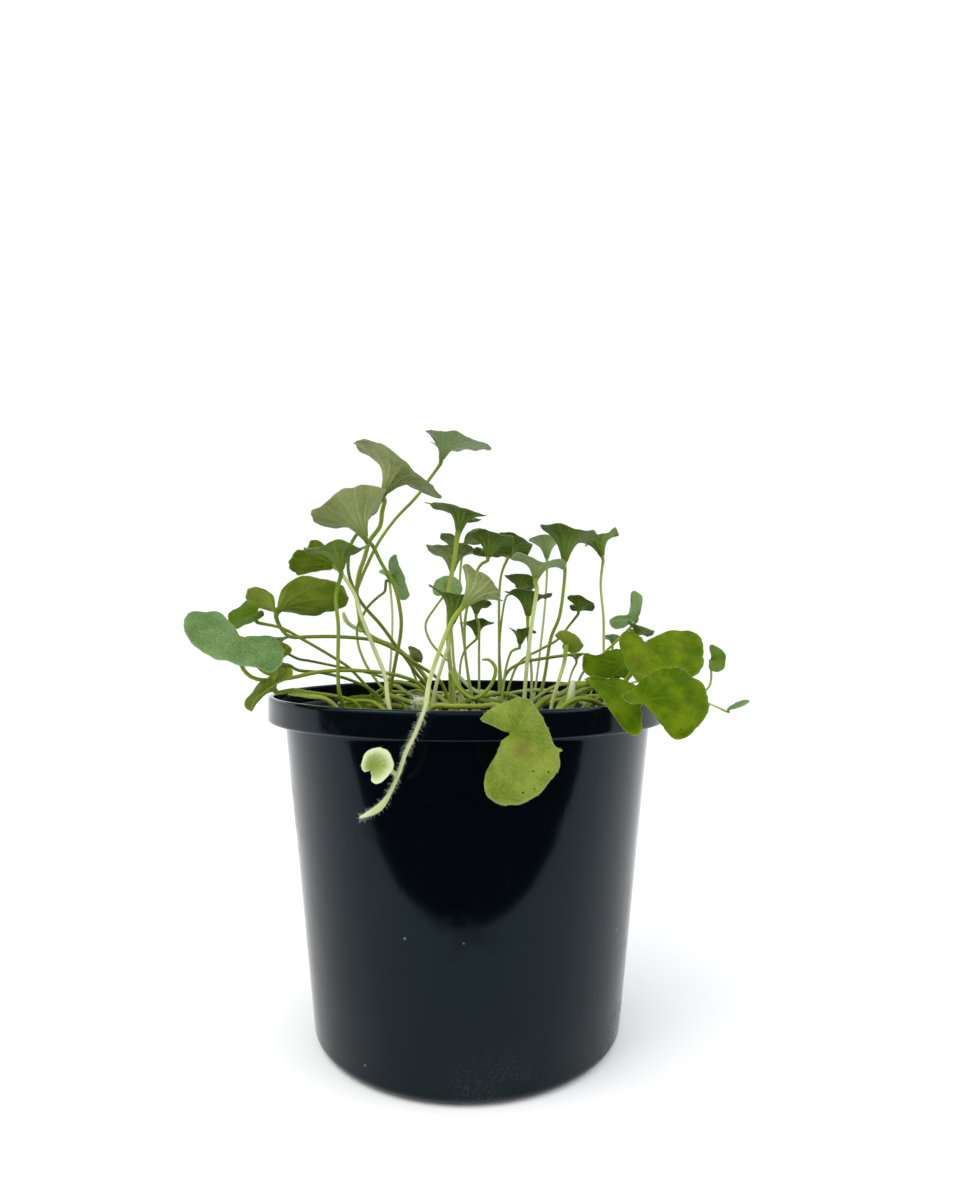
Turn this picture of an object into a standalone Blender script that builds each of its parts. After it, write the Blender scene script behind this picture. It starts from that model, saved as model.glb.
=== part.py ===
"""Potted silver dichondra: a black nursery pot filled with potting mix, and its creeping plant.

Millimetres are used throughout and turned into metres by MM where a mesh is made. The origin is the
centre of the pot's foot, +Z is up and -Y is the front.
"""

import math
from collections import namedtuple

import bpy
import bmesh
from mathutils import Vector

MM = 0.001

# The pot: an injection-moulded nursery pot with a stepped collar.
POT_HEIGHT = 115.0
COLLAR_RADIUS = 70.0
COLLAR_HEIGHT = 8.4
NECK_RADIUS = 64.2
FOOT_RADIUS = 53.4
FOOT_ROUNDING = 3.6
WALL = 1.3
FOOT_RING_WIDTH = 4.0
CENTRE_PAD_RADIUS = 9.0
BASE_RECESS = 2.0
BASE_THICKNESS = 1.6
DRAIN_HOLES = 8
DRAIN_HOLE_RADIUS = 4.5
DRAIN_CIRCLE_RADIUS = 38.0
POT_SIDES = 32

# The potting mix, a slightly heaped disc that fills the pot.
SOIL_TOP = 101.5
SOIL_HEAP = 1.6
SOIL_ROUGHNESS = 0.7
SOIL_RINGS = 3
SOIL_SIDES = 20
GAP = 0.3

# The plant.
BLADE_THICKNESS = 0.7
BLADE_SPOKES = 13
SMALL_BLADE_SPOKES = 11
SMALL_BLADE_WIDTH = 16.0
STEM_SIDES = 5
STEM_STEP = 14.0
STEM_FLARE = 1.6
NECK = 2.0
RUNNER_RADIUS = 0.9
ROOT_DEPTH = 5.0
ROOT_LIFT = 1.6
STEM_SINK = 0.35
RUNNER_END = 2.0

Leaf = namedtuple(
    "Leaf",
    "name width face tip cup sag_tip sag_side wave lobe_angle fold stem radius edge",
    defaults=(None,),
)


def bare_stem(name, stem, radius):
    """A stem with no blade at its end."""
    return Leaf(name, 0, (0, 0, 1), (1, 0, 0), 0, 0, 0, 0, 0, 0, stem, radius)


# Each spray's leaves: the direction that the upper face looks in, the way its tip points, and how it is
# bent, as shares of its width; then its stem's route from its root to the blade, in millimetres.
SPRAYS = {
    "left_front_spray": [
        Leaf("silver_left", width=33, face=(0.25, -0.6, 0.76), tip=(-0.2, -0.78, -0.57),
             cup=0.02, sag_tip=0.05, sag_side=0.04, wave=0.012, lobe_angle=158, fold=0,
             stem=[(-10, -20, 103.1), (-14, -21, 117), (-22, -25, 122), (-35, -30, 124), (-46, -36, 124),
                   (-56, -40, 122), (-64, -43, 122), (-68, -44, 125), (-69, -46, 130),
                   (-67, -50, 135)], radius=0.65,
             edge=[(-5, -6.5), (-6.5, -9.5), (-6.5, -12.5), (-5, -15.5), (-3, -18.5), (1.5, -17.5),
                   (6.5, -14), (9, -10.5), (11, -5.5), (12, -0.5), (11, 5), (9.5, 10), (8, 14.5),
                   (2.5, 14.5), (-2, 12), (-3.5, 7.5), (-2.5, 2.8)]),
        Leaf("upright_mid", width=17, face=(0.88, -0.3, 0.2), tip=(0.25, 0.85, 0.3),
             cup=0.12, sag_tip=0.1, sag_side=0.0, wave=0.02, lobe_angle=140, fold=0.1,
             stem=[(-19, -26, 103.1), (-20, -28, 112), (-24, -27, 115), (-28, -24, 118), (-34, -16, 124),
                   (-38, -9, 130), (-40, -3, 135), (-40, -2, 139), (-38, -2, 143), (-36, -3, 146),
                   (-32, -8, 149), (-29, -11, 151), (-26, -13, 155)], radius=0.5),
        Leaf("low_left", width=23, face=(-0.6, -0.33, 0.7), tip=(-0.5, -0.3, -0.85),
             cup=0.06, sag_tip=0.1, sag_side=0.05, wave=0.03, lobe_angle=150, fold=0.1,
             stem=[(-30, -34, 103.1), (-34, -36, 113), (-39, -38, 116), (-48, -44, 118), (-52, -47, 119),
                   (-56, -48, 119), (-58, -49, 120)], radius=0.65),
        Leaf("shelf_left", width=21, face=(-0.12, 0.05, 1), tip=(0.5, -0.85, 0),
             cup=0.2, sag_tip=0.03, sag_side=-0.04, wave=0.03, lobe_angle=150, fold=0,
             stem=[(-36, -38, 103.1), (-37, -44, 113), (-38, -48, 119), (-38, -50, 128), (-38, -50, 138),
                   (-39, -49, 147), (-38, -48, 157.5)], radius=0.6),
    ],
    "left_long_spray": [
        Leaf("long_left", width=33, face=(0, 0.48, 0.88), tip=(1, 0, 0),
             cup=0.12, sag_tip=0.0, sag_side=-0.03, wave=0.01, lobe_angle=158, fold=0,
             stem=[(-4, -8, 103.1), (-8, -9, 116), (-11, -12, 121), (-18, -16, 126), (-25, -20, 131),
                   (-32, -24, 134), (-42, -30, 135), (-50, -33, 135), (-56, -35, 135), (-59, -36, 138),
                   (-60, -36, 142), (-60, -36, 144)], radius=0.62,
             edge=[(1.5, -4), (4, -9), (9, -12), (15, -12), (20, -9), (22.5, -3), (21, 4), (16, 9), (9, 11),
                   (2, 10.5), (-4, 9), (-8.5, 6), (-10.5, 1), (-9.5, -4), (-6, -7.5), (-3, -7),
                   (-1, -3)]),
        Leaf("tent_left", width=21, face=(-0.35, -0.55, 0.75), tip=(-0.85, 0.1, -0.35),
             cup=0.12, sag_tip=0.2, sag_side=0.2, wave=0.03, lobe_angle=150, fold=0.3,
             stem=[(-25, -6, 103.1), (-32, -8, 113), (-40, -12, 123), (-45, -14, 127), (-56, -18, 134),
                   (-63, -20, 138), (-69, -21, 141), (-72, -22, 142)], radius=0.55),
        Leaf("under_left", width=17, face=(0.0, 0.72, 0.6), tip=(-0.9, -0.3, -0.1),
             cup=0.1, sag_tip=0.15, sag_side=0.15, wave=0.02, lobe_angle=150, fold=0.1,
             stem=[(-23, -14, 103.1), (-31, -16, 115), (-39, -18, 120), (-48, -24, 123), (-55, -28, 124),
                   (-58, -31, 126), (-61, -33, 127)], radius=0.55),
    ],
    "left_back_spray": [
        Leaf("hidden_left", width=17, face=(0.0, -0.35, 0.9), tip=(-0.85, -0.2, -0.1),
             cup=0.1, sag_tip=0.1, sag_side=0.1, wave=0.02, lobe_angle=150, fold=0,
             stem=[(-19, 22, 103.1), (-25, 18, 114), (-34, 12, 120), (-49, 4, 124), (-57, 0, 126),
                   (-61, -4, 127), (-64, -8, 129), (-67, -12, 132)], radius=0.5),
        Leaf("tucked_left", width=15, face=(0.1, -0.75, 0.6), tip=(0.5, 0.1, 0.8),
             cup=0.05, sag_tip=0.1, sag_side=0.1, wave=0.02, lobe_angle=150, fold=0,
             stem=[(-20, 2, 103.1), (-25, -6, 106.5), (-31, -12, 108), (-36, -17, 110)], radius=0.55),
    ],
    "tall_shoot": [
        Leaf("tall_folded", width=35, face=(0.5, 0.1, 0.86), tip=(0.3, -0.9, 0.1),
             cup=0.26, sag_tip=0.02, sag_side=0.03, wave=0.015, lobe_angle=155, fold=0,
             stem=[(-13, 8, 103.1), (-15, 6, 116), (-16, 5, 120), (-21, 4, 126), (-27, 3, 131),
                   (-34, 2, 134), (-39, 2, 138), (-40, 1, 144), (-41, 1, 151), (-40, 0, 158), (-38, 0, 164),
                   (-36, -1, 170), (-32, -3, 175), (-31, -5, 180), (-30, -6, 184),
                   (-29, -8, 188)], radius=0.85,
             edge=[(-2, -2), (-7, -4), (-10, -8), (-9.5, -13), (-5, -17), (2, -18), (9, -14.5), (13, -8),
                   (14.5, -1), (13, 5), (9, 10), (5.5, 14.5), (1, 18.5), (-3, 16.5), (-7.5, 11),
                   (-8, 5), (-2, 2)]),
        Leaf("tall_fan", width=25, face=(0.18, 0.04, 0.98), tip=(1, 0, 0),
             cup=0.24, sag_tip=0.0, sag_side=0.0, wave=0.02, lobe_angle=150, fold=0,
             stem=[(-41, 1, 152), (-38, 2, 160), (-33, 2, 170), (-27, 4, 179), (-20, 6, 187), (-15, 7, 194),
                   (-12, 8, 200), (-10, 8, 204)], radius=0.62,
             edge=[(-1, -2), (-4, -4.5), (-7, -8.5), (-3, -11), (4, -11.5), (11, -9), (16, -5), (18, -1),
                   (15, 5), (9, 9.5), (2, 11), (-4, 9.5), (-6, 6), (-4, 3), (-1, 2)]),
        bare_stem("second_stem",
             stem=[(-8, 2, 103.1), (-14, -1, 116), (-18, -3, 121), (-22, -5, 127), (-26, -5, 132),
                   (-31, -6, 139), (-38, -6, 147), (-42, -6, 155), (-43, -6, 161), (-42, -6, 168),
                   (-39, -6, 173), (-36, -7, 177), (-32, -8, 182), (-29, -8, 186)], radius=0.65),
        bare_stem("left_branch",
             stem=[(-39, 2, 137), (-43, 2, 139), (-45, 2, 141), (-46, 2, 144)], radius=0.7),
    ],
    "mid_spray": [
        Leaf("broad_left", width=27, face=(-0.42, 0.25, 0.87), tip=(0.3, -0.9, 0.3),
             cup=0.3, sag_tip=-0.2, sag_side=-0.2, wave=0.03, lobe_angle=155, fold=0,
             stem=[(-27, -17, 103.1), (-26, -20, 116), (-24, -23, 126), (-22, -25, 136), (-22, -26, 143),
                   (-24, -27, 152), (-28, -28, 159), (-31, -29, 165), (-34, -30, 169)], radius=0.65),
        Leaf("pale_mid", width=10, face=(0.1, -0.35, 0.9), tip=(0.2, 0.9, 0.2),
             cup=0.2, sag_tip=0.1, sag_side=0.0, wave=0.02, lobe_angle=140, fold=0,
             stem=[(-34, 20, 103.1), (-32, 23, 114), (-31, 26, 130), (-31, 28, 144), (-32, 29, 155),
                   (-32, 29, 159)], radius=0.5),
        Leaf("bud_mid", width=10, face=(0.35, 0.5, 0.6), tip=(0.6, -0.3, -0.6),
             cup=0.1, sag_tip=0.1, sag_side=0.1, wave=0.02, lobe_angle=150, fold=0.3,
             stem=[(-16, 27, 103.1), (-19, 25, 113), (-22, 22, 121), (-22, 20, 127)], radius=0.45),
    ],
    "front_runner": [
        Leaf("pale_front", width=18, face=(0.6, 0.15, 0.75), tip=(0.6, -0.3, -0.6),
             cup=0.3, sag_tip=-0.12, sag_side=-0.12, wave=0.02, lobe_angle=150, fold=0,
             stem=[(-10, -74, 117), (-9, -73, 124), (-6, -71, 133), (-3, -70, 140), (-1, -69, 144),
                   (1, -69, 145)], radius=0.62),
        Leaf("curled_front", width=11, face=(-0.2, -0.93, 0.3), tip=(0.5, -0.1, -0.1),
             cup=0.02, sag_tip=0.05, sag_side=0.05, wave=0.02, lobe_angle=158, fold=0,
             stem=[(-17, -78, 99), (-19, -77.5, 100.5), (-22, -77.5, 101.5),
                   (-23, -80, 102)], radius=0.5,
             edge=[(0.1, -1.6), (0.4, -3.6), (2, -4.1), (3.5, -3), (4.5, -1), (5, 1.5), (3.5, 4), (1, 5),
                   (-1, 4.5), (-3, 3), (-3.2, 0.5), (-2.6, -1.5), (-1.6, -1.9), (-0.7, -1)]),
        bare_stem("trail",
             stem=[(-14, -52, 103.1), (-14, -56, 113), (-14, -62, 116), (-13, -68, 118), (-10, -74, 118),
                   (-11, -76, 114), (-13, -76, 109), (-15, -77, 105), (-17, -78, 99), (-20, -78, 93),
                   (-23, -77, 90), (-27, -76, 88)], radius=0.55),
    ],
    "bright_leaf": [
        Leaf("bright_left", width=19, face=(-0.35, 0.6, 0.62), tip=(-0.8, -0.15, -0.5),
             cup=0.02, sag_tip=0.04, sag_side=0.04, wave=0.03, lobe_angle=150, fold=0,
             stem=[(-20, -48, 103.1), (-23, -49, 115), (-25, -42, 123), (-30, -33, 132), (-35, -26, 142),
                   (-38, -20, 149), (-44, -13, 157), (-48, -8, 161)], radius=0.7,
             edge=[(0, -2), (4, -1), (9, 0.8), (12.5, 1.5), (13.5, 3.5), (14, 6), (13, 10), (11, 11),
                   (8.5, 12.5), (6, 12), (3, 14), (0.5, 13), (-0.5, 10.5), (-1.5, 4)]),
    ],
    "centre_front_spray": [
        Leaf("dark_front", width=19, face=(0.2, 0.02, 0.97), tip=(0.2, -0.95, 0),
             cup=0.4, sag_tip=0.0, sag_side=0.0, wave=0.02, lobe_angle=145, fold=0,
             stem=[(-10, -44, 103.1), (-10, -45, 114), (-9, -46, 120), (-7, -46, 127), (-5, -45, 133),
                   (-4, -45, 138), (-4, -45, 141)], radius=0.6),
        Leaf("top_centre", width=22, face=(0.28, 0.03, 0.96), tip=(-1, -0.1, 0),
             cup=0.22, sag_tip=0.03, sag_side=0.03, wave=0.02, lobe_angle=150, fold=0,
             stem=[(-2, -24, 103.1), (-4, -24, 112), (-5, -25, 121), (-6, -26, 131), (-6, -27, 142),
                   (-6, -27, 150), (-4, -28, 161), (-3, -28, 168), (-2, -28, 172)], radius=0.8,
             edge=[(-1, -2), (-4, -4), (-6.5, -8), (-3, -10.5), (3, -10.5), (9, -8), (13, -2.5), (12.5, 2),
                   (8, 7), (2, 9.5), (-4, 9), (-7, 6), (-4.5, 3), (-1, 2)]),
        bare_stem("hooked_stem",
             stem=[(-5, -34, 103.1), (-5, -35, 118), (-5, -36, 124), (-3, -38, 120), (0, -40, 117),
                   (3, -42, 116), (7, -42, 119), (9, -42, 123), (9, -42, 126), (7, -42, 128),
                   (5, -42, 128)], radius=0.62),
    ],
    "centre_back_spray": [
        Leaf("back_centre", width=20, face=(0.0, 0.3, 0.95), tip=(0.3, 0.9, -0.3),
             cup=0.22, sag_tip=0.0, sag_side=-0.02, wave=0.03, lobe_angle=145, fold=0,
             stem=[(2, 38, 103.1), (0, 39, 113), (-2, 40, 129), (-4, 41, 146), (-4, 41, 161),
                   (-3, 41, 173)], radius=0.5),
        Leaf("blue_centre", width=13, face=(-0.1, -0.92, 0.35), tip=(0.1, 0.3, 0.9),
             cup=0.05, sag_tip=0.04, sag_side=0.05, wave=0.02, lobe_angle=155, fold=0,
             stem=[(-3, 30, 103.1), (-7, 31, 122), (-11, 32, 127), (-16, 33, 133), (-18, 34, 140),
                   (-14, 35, 147), (-9, 36, 155)], radius=0.5),
        Leaf("low_centre", width=15, face=(0.0, 0.2, 0.97), tip=(0.2, -0.9, 0),
             cup=0.26, sag_tip=0.0, sag_side=0.0, wave=0.02, lobe_angle=145, fold=0,
             stem=[(-3, 44, 103.1), (-4, 44, 112), (-4, 43, 122), (-2, 42, 129),
                   (3, 40, 137)], radius=0.5),
    ],
    "centre_spray": [
        Leaf("mid_centre", width=20, face=(0.0, 0.2, 0.97), tip=(0.3, -0.9, 0),
             cup=0.3, sag_tip=-0.08, sag_side=-0.1, wave=0.03, lobe_angle=150, fold=0,
             stem=[(1, 2, 103.1), (-2, 3, 112), (-5, 4, 123), (-6, 5, 134), (-7, 5, 145), (-7, 5, 152),
                   (-6, 5, 161)], radius=0.55),
        Leaf("broad_centre", width=21, face=(0.1, 0.38, 0.9), tip=(0.97, -0.1, -0.1),
             cup=0.2, sag_tip=0.05, sag_side=0.08, wave=0.03, lobe_angle=155, fold=0,
             stem=[(4, -4, 103.1), (1, -4, 116), (-1, -4, 130), (-1, -4, 141), (1, -5, 151), (4, -5, 160),
                   (7.5, -5, 165.5)], radius=0.55),
        Leaf("shaded_centre", width=13, face=(0.05, 0.25, 0.95), tip=(0.7, -0.5, 0.1),
             cup=0.25, sag_tip=0.05, sag_side=0.05, wave=0.02, lobe_angle=145, fold=0,
             stem=[(4, 12, 103.1), (4, 12, 114), (4, 12, 130), (4, 11, 139), (3, 10, 145)], radius=0.5),
    ],
    "centre_right_spray": [
        Leaf("light_right", width=18, face=(0.15, 0.03, 0.98), tip=(0.2, -0.95, 0),
             cup=0.22, sag_tip=0.0, sag_side=0.02, wave=0.05, lobe_angle=150, fold=0,
             stem=[(17, -40, 103.1), (18, -40, 115), (19, -41, 127), (20, -42, 136), (21, -42, 143),
                   (22, -42, 150), (22, -42, 155)], radius=0.65),
        Leaf("dark_right", width=18, face=(0.05, 0.1, 1), tip=(0.6, -0.8, 0.0),
             cup=0.34, sag_tip=0.0, sag_side=0.0, wave=0.02, lobe_angle=145, fold=0,
             stem=[(22, -16, 103.1), (22, -16, 115), (22, -16, 124), (21, -15, 134), (21, -15, 141),
                   (21, -15, 144)], radius=0.5),
        bare_stem("long_right",
             stem=[(15, -19, 103.1), (12, -19, 113), (13, -20, 122), (18, -20, 126), (25, -20, 127.5),
                   (32, -19, 128.5), (37, -16, 129), (41, -13, 129)], radius=0.55),
        Leaf("small_dark", width=12, face=(0.1, 0.03, 1), tip=(0.9, 0.3, 0),
             cup=0.3, sag_tip=0.02, sag_side=0.0, wave=0.02, lobe_angle=140, fold=0,
             stem=[(10, -22, 103.1), (12, -22, 117), (13, -21, 124), (15, -20, 130),
                   (18, -20, 134)], radius=0.45),
    ],
    "back_right_spray": [
        Leaf("twin_front", width=21, face=(0.2, 0.4, 0.88), tip=(0.9, 0.1, -0.35),
             cup=0.2, sag_tip=0.12, sag_side=0.12, wave=0.02, lobe_angle=155, fold=0,
             stem=[(12, 26, 103.1), (12, 26, 118), (12, 26, 134), (12, 26, 150), (13, 26, 160),
                   (16, 26, 169)], radius=0.55),
        Leaf("twin_shade", width=16, face=(0.15, 0.35, 0.9), tip=(0.7, -0.5, -0.2),
             cup=0.2, sag_tip=0.08, sag_side=0.08, wave=0.02, lobe_angle=150, fold=0,
             stem=[(14, 20, 103.1), (13, 20, 114), (12, 19, 130), (13, 18, 143), (15, 18, 151),
                   (20, 18, 154)], radius=0.45),
        Leaf("pale_back", width=16, face=(0.0, 0.15, 1), tip=(0.3, -0.9, 0.0),
             cup=0.35, sag_tip=-0.1, sag_side=-0.1, wave=0.02, lobe_angle=145, fold=0,
             stem=[(26, 46, 103.1), (28, 46, 114), (30, 46, 129), (32, 46, 147), (33, 46, 161),
                   (33, 46, 170)], radius=0.5),
    ],
    "right_tall_spray": [
        Leaf("bent_right", width=14, face=(0.2, 0.35, 0.9), tip=(0.9, -0.3, -0.2),
             cup=0.15, sag_tip=0.08, sag_side=0.08, wave=0.02, lobe_angle=155, fold=0,
             stem=[(12, 6, 103.1), (16, 7, 119), (20, 8, 126), (27, 9, 130), (34, 10, 134), (38, 10, 139),
                   (42, 10, 146)], radius=0.5),
        Leaf("wide_right", width=27, face=(0.08, 0.06, 1), tip=(0.95, -0.3, 0),
             cup=0.32, sag_tip=0.02, sag_side=0.0, wave=0.02, lobe_angle=150, fold=0,
             stem=[(25, 2, 103.1), (26, 1, 112), (28, 0, 121), (30, -2, 134), (33, -3, 142), (34.5, -4, 152),
                   (35, -5, 159), (35, -5, 164)], radius=0.65),
        Leaf("tiny_right", width=6, face=(0.0, 0.3, 0.9), tip=(0.5, 0.5, 0),
             cup=0.2, sag_tip=0, sag_side=0, wave=0, lobe_angle=145, fold=0,
             stem=[(37, 10, 103.1), (38, 14, 115), (40, 18, 121), (42, 20, 127)], radius=0.4),
        Leaf("wing_right", width=21, face=(-0.28, 0.05, 0.95), tip=(0.95, -0.3, 0.2),
             cup=0.25, sag_tip=0.0, sag_side=-0.02, wave=0.02, lobe_angle=150, fold=0,
             stem=[(52, 14, 103.1), (52, 15, 114), (52, 15, 130), (52, 15, 142), (51, 15, 155),
                   (51, 15, 165), (51, 15, 168)], radius=0.55),
    ],
    "right_front_spray": [
        Leaf("young_right", width=11.5, face=(0.25, 0.5, 0.8), tip=(0.6, -0.3, 0),
             cup=0.06, sag_tip=0.0, sag_side=0.0, wave=0.02, lobe_angle=140, fold=0,
             stem=[(25, -46, 103.1), (26, -46, 114), (28, -46, 121), (30, -45, 127),
                   (31, -45, 133)], radius=0.6),
        bare_stem("bud",
             stem=[(25.3, -46, 106.5), (29, -46.5, 110.5), (31.5, -47, 116),
                   (32.4, -47, 122)], radius=0.85),
    ],
    "right_back_spray": [
        Leaf("silver_back_right", width=20, face=(-0.1, -0.9, 0.4), tip=(-0.7, 0, 0.5),
             cup=0.02, sag_tip=0.03, sag_side=0.03, wave=0.02, lobe_angle=150, fold=0,
             stem=[(41, 30, 103.1), (45, 29, 119), (53, 28, 127), (57, 27, 131), (62, 26, 136),
                   (67, 25, 142)], radius=0.55,
             edge=[(0.5, -3.5), (1.5, -7), (3.5, -10.5), (7, -10.5), (7.5, -8.5), (5, -3.5), (4, 0.5),
                   (7.5, 3), (9, 5.5), (8, 7.5), (5, 8), (2.5, 6)]),
        Leaf("tiny_back_right", width=10, face=(0.1, 0.2, 0.95), tip=(-0.8, -0.4, 0.0),
             cup=0.2, sag_tip=0.0, sag_side=0.05, wave=0.02, lobe_angle=150, fold=0,
             stem=[(46, 36, 103.1), (51, 38, 113), (56, 40, 121), (59.5, 40, 128.5),
                   (60, 40, 133)], radius=0.4),
        Leaf("fold_back_right", width=15, face=(0.25, 0.2, 0.85), tip=(0.85, -0.3, -0.3),
             cup=0.1, sag_tip=0.1, sag_side=0.15, wave=0.02, lobe_angle=150, fold=0.1,
             stem=[(48, 22, 103.1), (54, 20, 116), (59, 18, 125), (62, 16, 132),
                   (65, 14, 137)], radius=0.5),
    ],
    "right_cluster": [
        Leaf("square_right", width=20, face=(-0.05, -0.8, 0.55), tip=(-0.9, -0.1, -0.2),
             cup=0.02, sag_tip=0.03, sag_side=0.03, wave=0.01, lobe_angle=155, fold=0,
             stem=[(31, -20, 103.1), (38, -20, 115), (46, -20, 119), (52, -20, 122),
                   (53, -21, 126)], radius=0.7,
             edge=[(-3, -3), (0, -6), (3, -6.5), (6.5, -6), (9.5, -6.5), (11.8, -7.6), (13, -5), (14, -2),
                   (13, 1), (11, 3.5), (7.5, 4), (3.5, 4.5), (0, 6), (-3, 2)]),
        Leaf("heart_right", width=30, face=(0.1, -0.75, 0.65), tip=(0.5, -0.5, -0.7),
             cup=0.02, sag_tip=0.04, sag_side=0.03, wave=0.012, lobe_angle=160, fold=0,
             stem=[(32, -28, 103.1), (40, -29, 114), (49, -29, 118), (54, -30, 124), (56, -32, 129),
                   (57, -35, 133)], radius=0.8,
             edge=[(-2.5, 0.5), (-5, -1.5), (-6.5, -4), (-5, -7), (-1, -9.5), (3.5, -11), (7, -12),
                   (11.5, -12.5), (15, -9.5), (17, -5.5), (18, 0), (17.5, 6), (15.5, 11), (11.5, 15),
                   (6, 18.5), (2.5, 17), (1, 14), (-0.5, 9.5), (-1, 2)]),
        Leaf("droop_right", width=21, face=(-0.15, -0.72, 0.68), tip=(0.6, -0.5, -0.65),
             cup=0.0, sag_tip=0.02, sag_side=0.06, wave=0.01, lobe_angle=130, fold=0,
             stem=[(27, -38, 103.1), (31, -42, 116), (34, -46, 120), (37, -50, 122.5)], radius=0.8,
             edge=[(-0.8, -1.2), (4, -1.5), (9.5, -2.5), (14.5, -3.5), (19.5, -4.5), (21.5, -4), (23, -2.5),
                   (21.5, 0.5), (16.5, 5), (10.5, 9), (9, 8.5), (5.5, 6.5), (3.5, 4.3),
                   (-0.8, 1.4)]),
        Leaf("front_right", width=27, face=(0.1, -0.85, 0.5), tip=(0.9, -0.1, -0.35),
             cup=0.02, sag_tip=0.03, sag_side=0.04, wave=0.01, lobe_angle=150, fold=0,
             stem=[(31, -36, 103.1), (40, -40, 115), (47, -45, 118), (50, -52, 118.5), (51, -58, 118),
                   (50, -63, 117.5)], radius=0.8,
             edge=[(1, -1.2), (3.5, -2.9), (7, -5.5), (10, -7.5), (12, -7.5), (14, -6), (16, -3), (18, 3),
                   (18, 7), (16.5, 11.5), (14, 13.5), (9.5, 15), (6, 14), (3, 12.5), (0, 9), (-2.5, 4.5),
                   (-4.5, 0.5), (-6, -1.5), (-3, -3), (-0.5, -1.5)]),
    ],
    "right_far_spray": [
        Leaf("round_far_right", width=12, face=(0.3, -0.85, 0.3), tip=(0.75, 0.0, -0.1),
             cup=0.1, sag_tip=0.0, sag_side=0.1, wave=0.02, lobe_angle=140, fold=0.1,
             stem=[(54, 18, 103.1), (58, 19.3, 113.5), (65, 21.5, 117), (72, 22.5, 117), (84, 23, 113.5),
                   (91, 24, 112.5), (95, 24, 115), (96, 24, 119.5), (96, 24, 124),
                   (97, 24, 126)], radius=0.45),
        Leaf("sprout_far_right", width=8, face=(-0.3, -0.45, 0.85), tip=(0.9, 0, 0.4),
             cup=0.0, sag_tip=0, sag_side=0.1, wave=0.0, lobe_angle=110, fold=0.2,
             stem=[(84, 23, 113.5), (91, 21, 110), (96, 20, 107.8), (101, 19.5, 107)], radius=0.4,
             edge=[(0.4, -0.7), (2.5, -1.7), (5, -1.8), (7.5, -1.1), (9, 0), (7.5, 1.1), (5, 1.8),
                   (2.5, 1.6), (0.4, 0.6)]),
    ],
    "hanging_leaf": [
        Leaf("hanging_front", width=29, face=(-0.1, -0.93, 0.3), tip=(0.8, -0.1, -0.6),
             cup=0.02, sag_tip=0.02, sag_side=0.03, wave=0.01, lobe_angle=160, fold=0,
             stem=[(22, -40, 103.1), (19, -50, 111), (16, -58, 116), (14, -64, 117), (13, -69, 117),
                   (13, -72, 115), (13, -75, 110)], radius=0.65,
             edge=[(-1, -3.5), (0, -7.5), (0.2, -10.5), (1, -14), (4, -17), (8, -17), (11, -15),
                   (13.5, -12), (15, -8), (15.5, -3), (15, 0.5), (13, 2.6), (13.2, 4), (11, 3.6),
                   (6.5, 6.5), (2, 8.5), (-3, 9.5), (-6, 6.5), (-8, 2.5), (-9, -2.4), (-7, -2.2),
                   (-2.5, -1.2)]),
    ],
    "runner_front": [
        bare_stem("runner",
             stem=[(-12, -50, 103.1), (-10, -54, 114), (-3, -57, 115), (4, -57, 115), (10, -56, 115),
                   (14, -52, 109)], radius=0.85),
    ],
    "runner_right": [
        bare_stem("runner",
             stem=[(13, -33, 103.1), (18, -35, 111), (29, -36, 115), (42, -34, 116), (51, -30, 114),
                   (55, -26, 107)], radius=0.8),
    ],
    "runner_right_back": [
        bare_stem("runner",
             stem=[(34, 2, 103.1), (39, 0, 115), (48, 0, 117), (56, 2, 116), (62, 6, 108)], radius=0.8),
    ],
    "runner_left_stub": [
        bare_stem("runner",
             stem=[(-32, -46, 103.1), (-36, -49, 111), (-41, -51, 116.5), (-46, -51, 117.5),
                   (-50, -50, 118), (-53, -49, 118)], radius=0.7),
    ],
}


def clear_scene():
    for thing in list(bpy.data.objects):
        bpy.data.objects.remove(thing)


def plain_material(name, colour, roughness):
    material = bpy.data.materials.new(name)
    material.use_nodes = True
    shader = material.node_tree.nodes["Principled BSDF"]
    shader.inputs["Base Color"].default_value = (*colour, 1.0)
    shader.inputs["Roughness"].default_value = roughness
    return material


def object_from(name, points, faces, material):
    """An object whose mesh has these points, in millimetres, and these faces."""
    mesh = bpy.data.meshes.new(name)
    mesh.from_pydata([Vector(p) * MM for p in points], [], faces)
    mesh.materials.append(material)
    thing = bpy.data.objects.new(name, mesh)
    bpy.context.scene.collection.objects.link(thing)
    return thing


def face_outwards(thing):
    """Splits a closed mesh into triangles that all look outwards."""
    shape = bmesh.new()
    shape.from_mesh(thing.data)
    bmesh.ops.triangulate(shape, faces=shape.faces)
    bmesh.ops.recalc_face_normals(shape, faces=shape.faces)
    shape.to_mesh(thing.data)
    shape.free()


def turned(profile, sides):
    """Points and faces of a (radius, height) profile turned round Z. Its two ends are on the axis."""
    points = [(0, 0, profile[0][1])]
    for radius, height in profile[1:-1]:
        for side in range(sides):
            angle = math.tau * side / sides
            points.append((radius * math.cos(angle), radius * math.sin(angle), height))
    points.append((0, 0, profile[-1][1]))
    last = len(points) - 1
    final_ring = last - sides
    faces = []
    for side in range(sides):
        after = (side + 1) % sides
        faces.append((0, 1 + after, 1 + side))
        faces.append((last, final_ring + side, final_ring + after))
        for ring in range(len(profile) - 3):
            low = 1 + ring * sides
            faces.append((low + side, low + after, low + sides + after, low + sides + side))
    return points, faces


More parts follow.
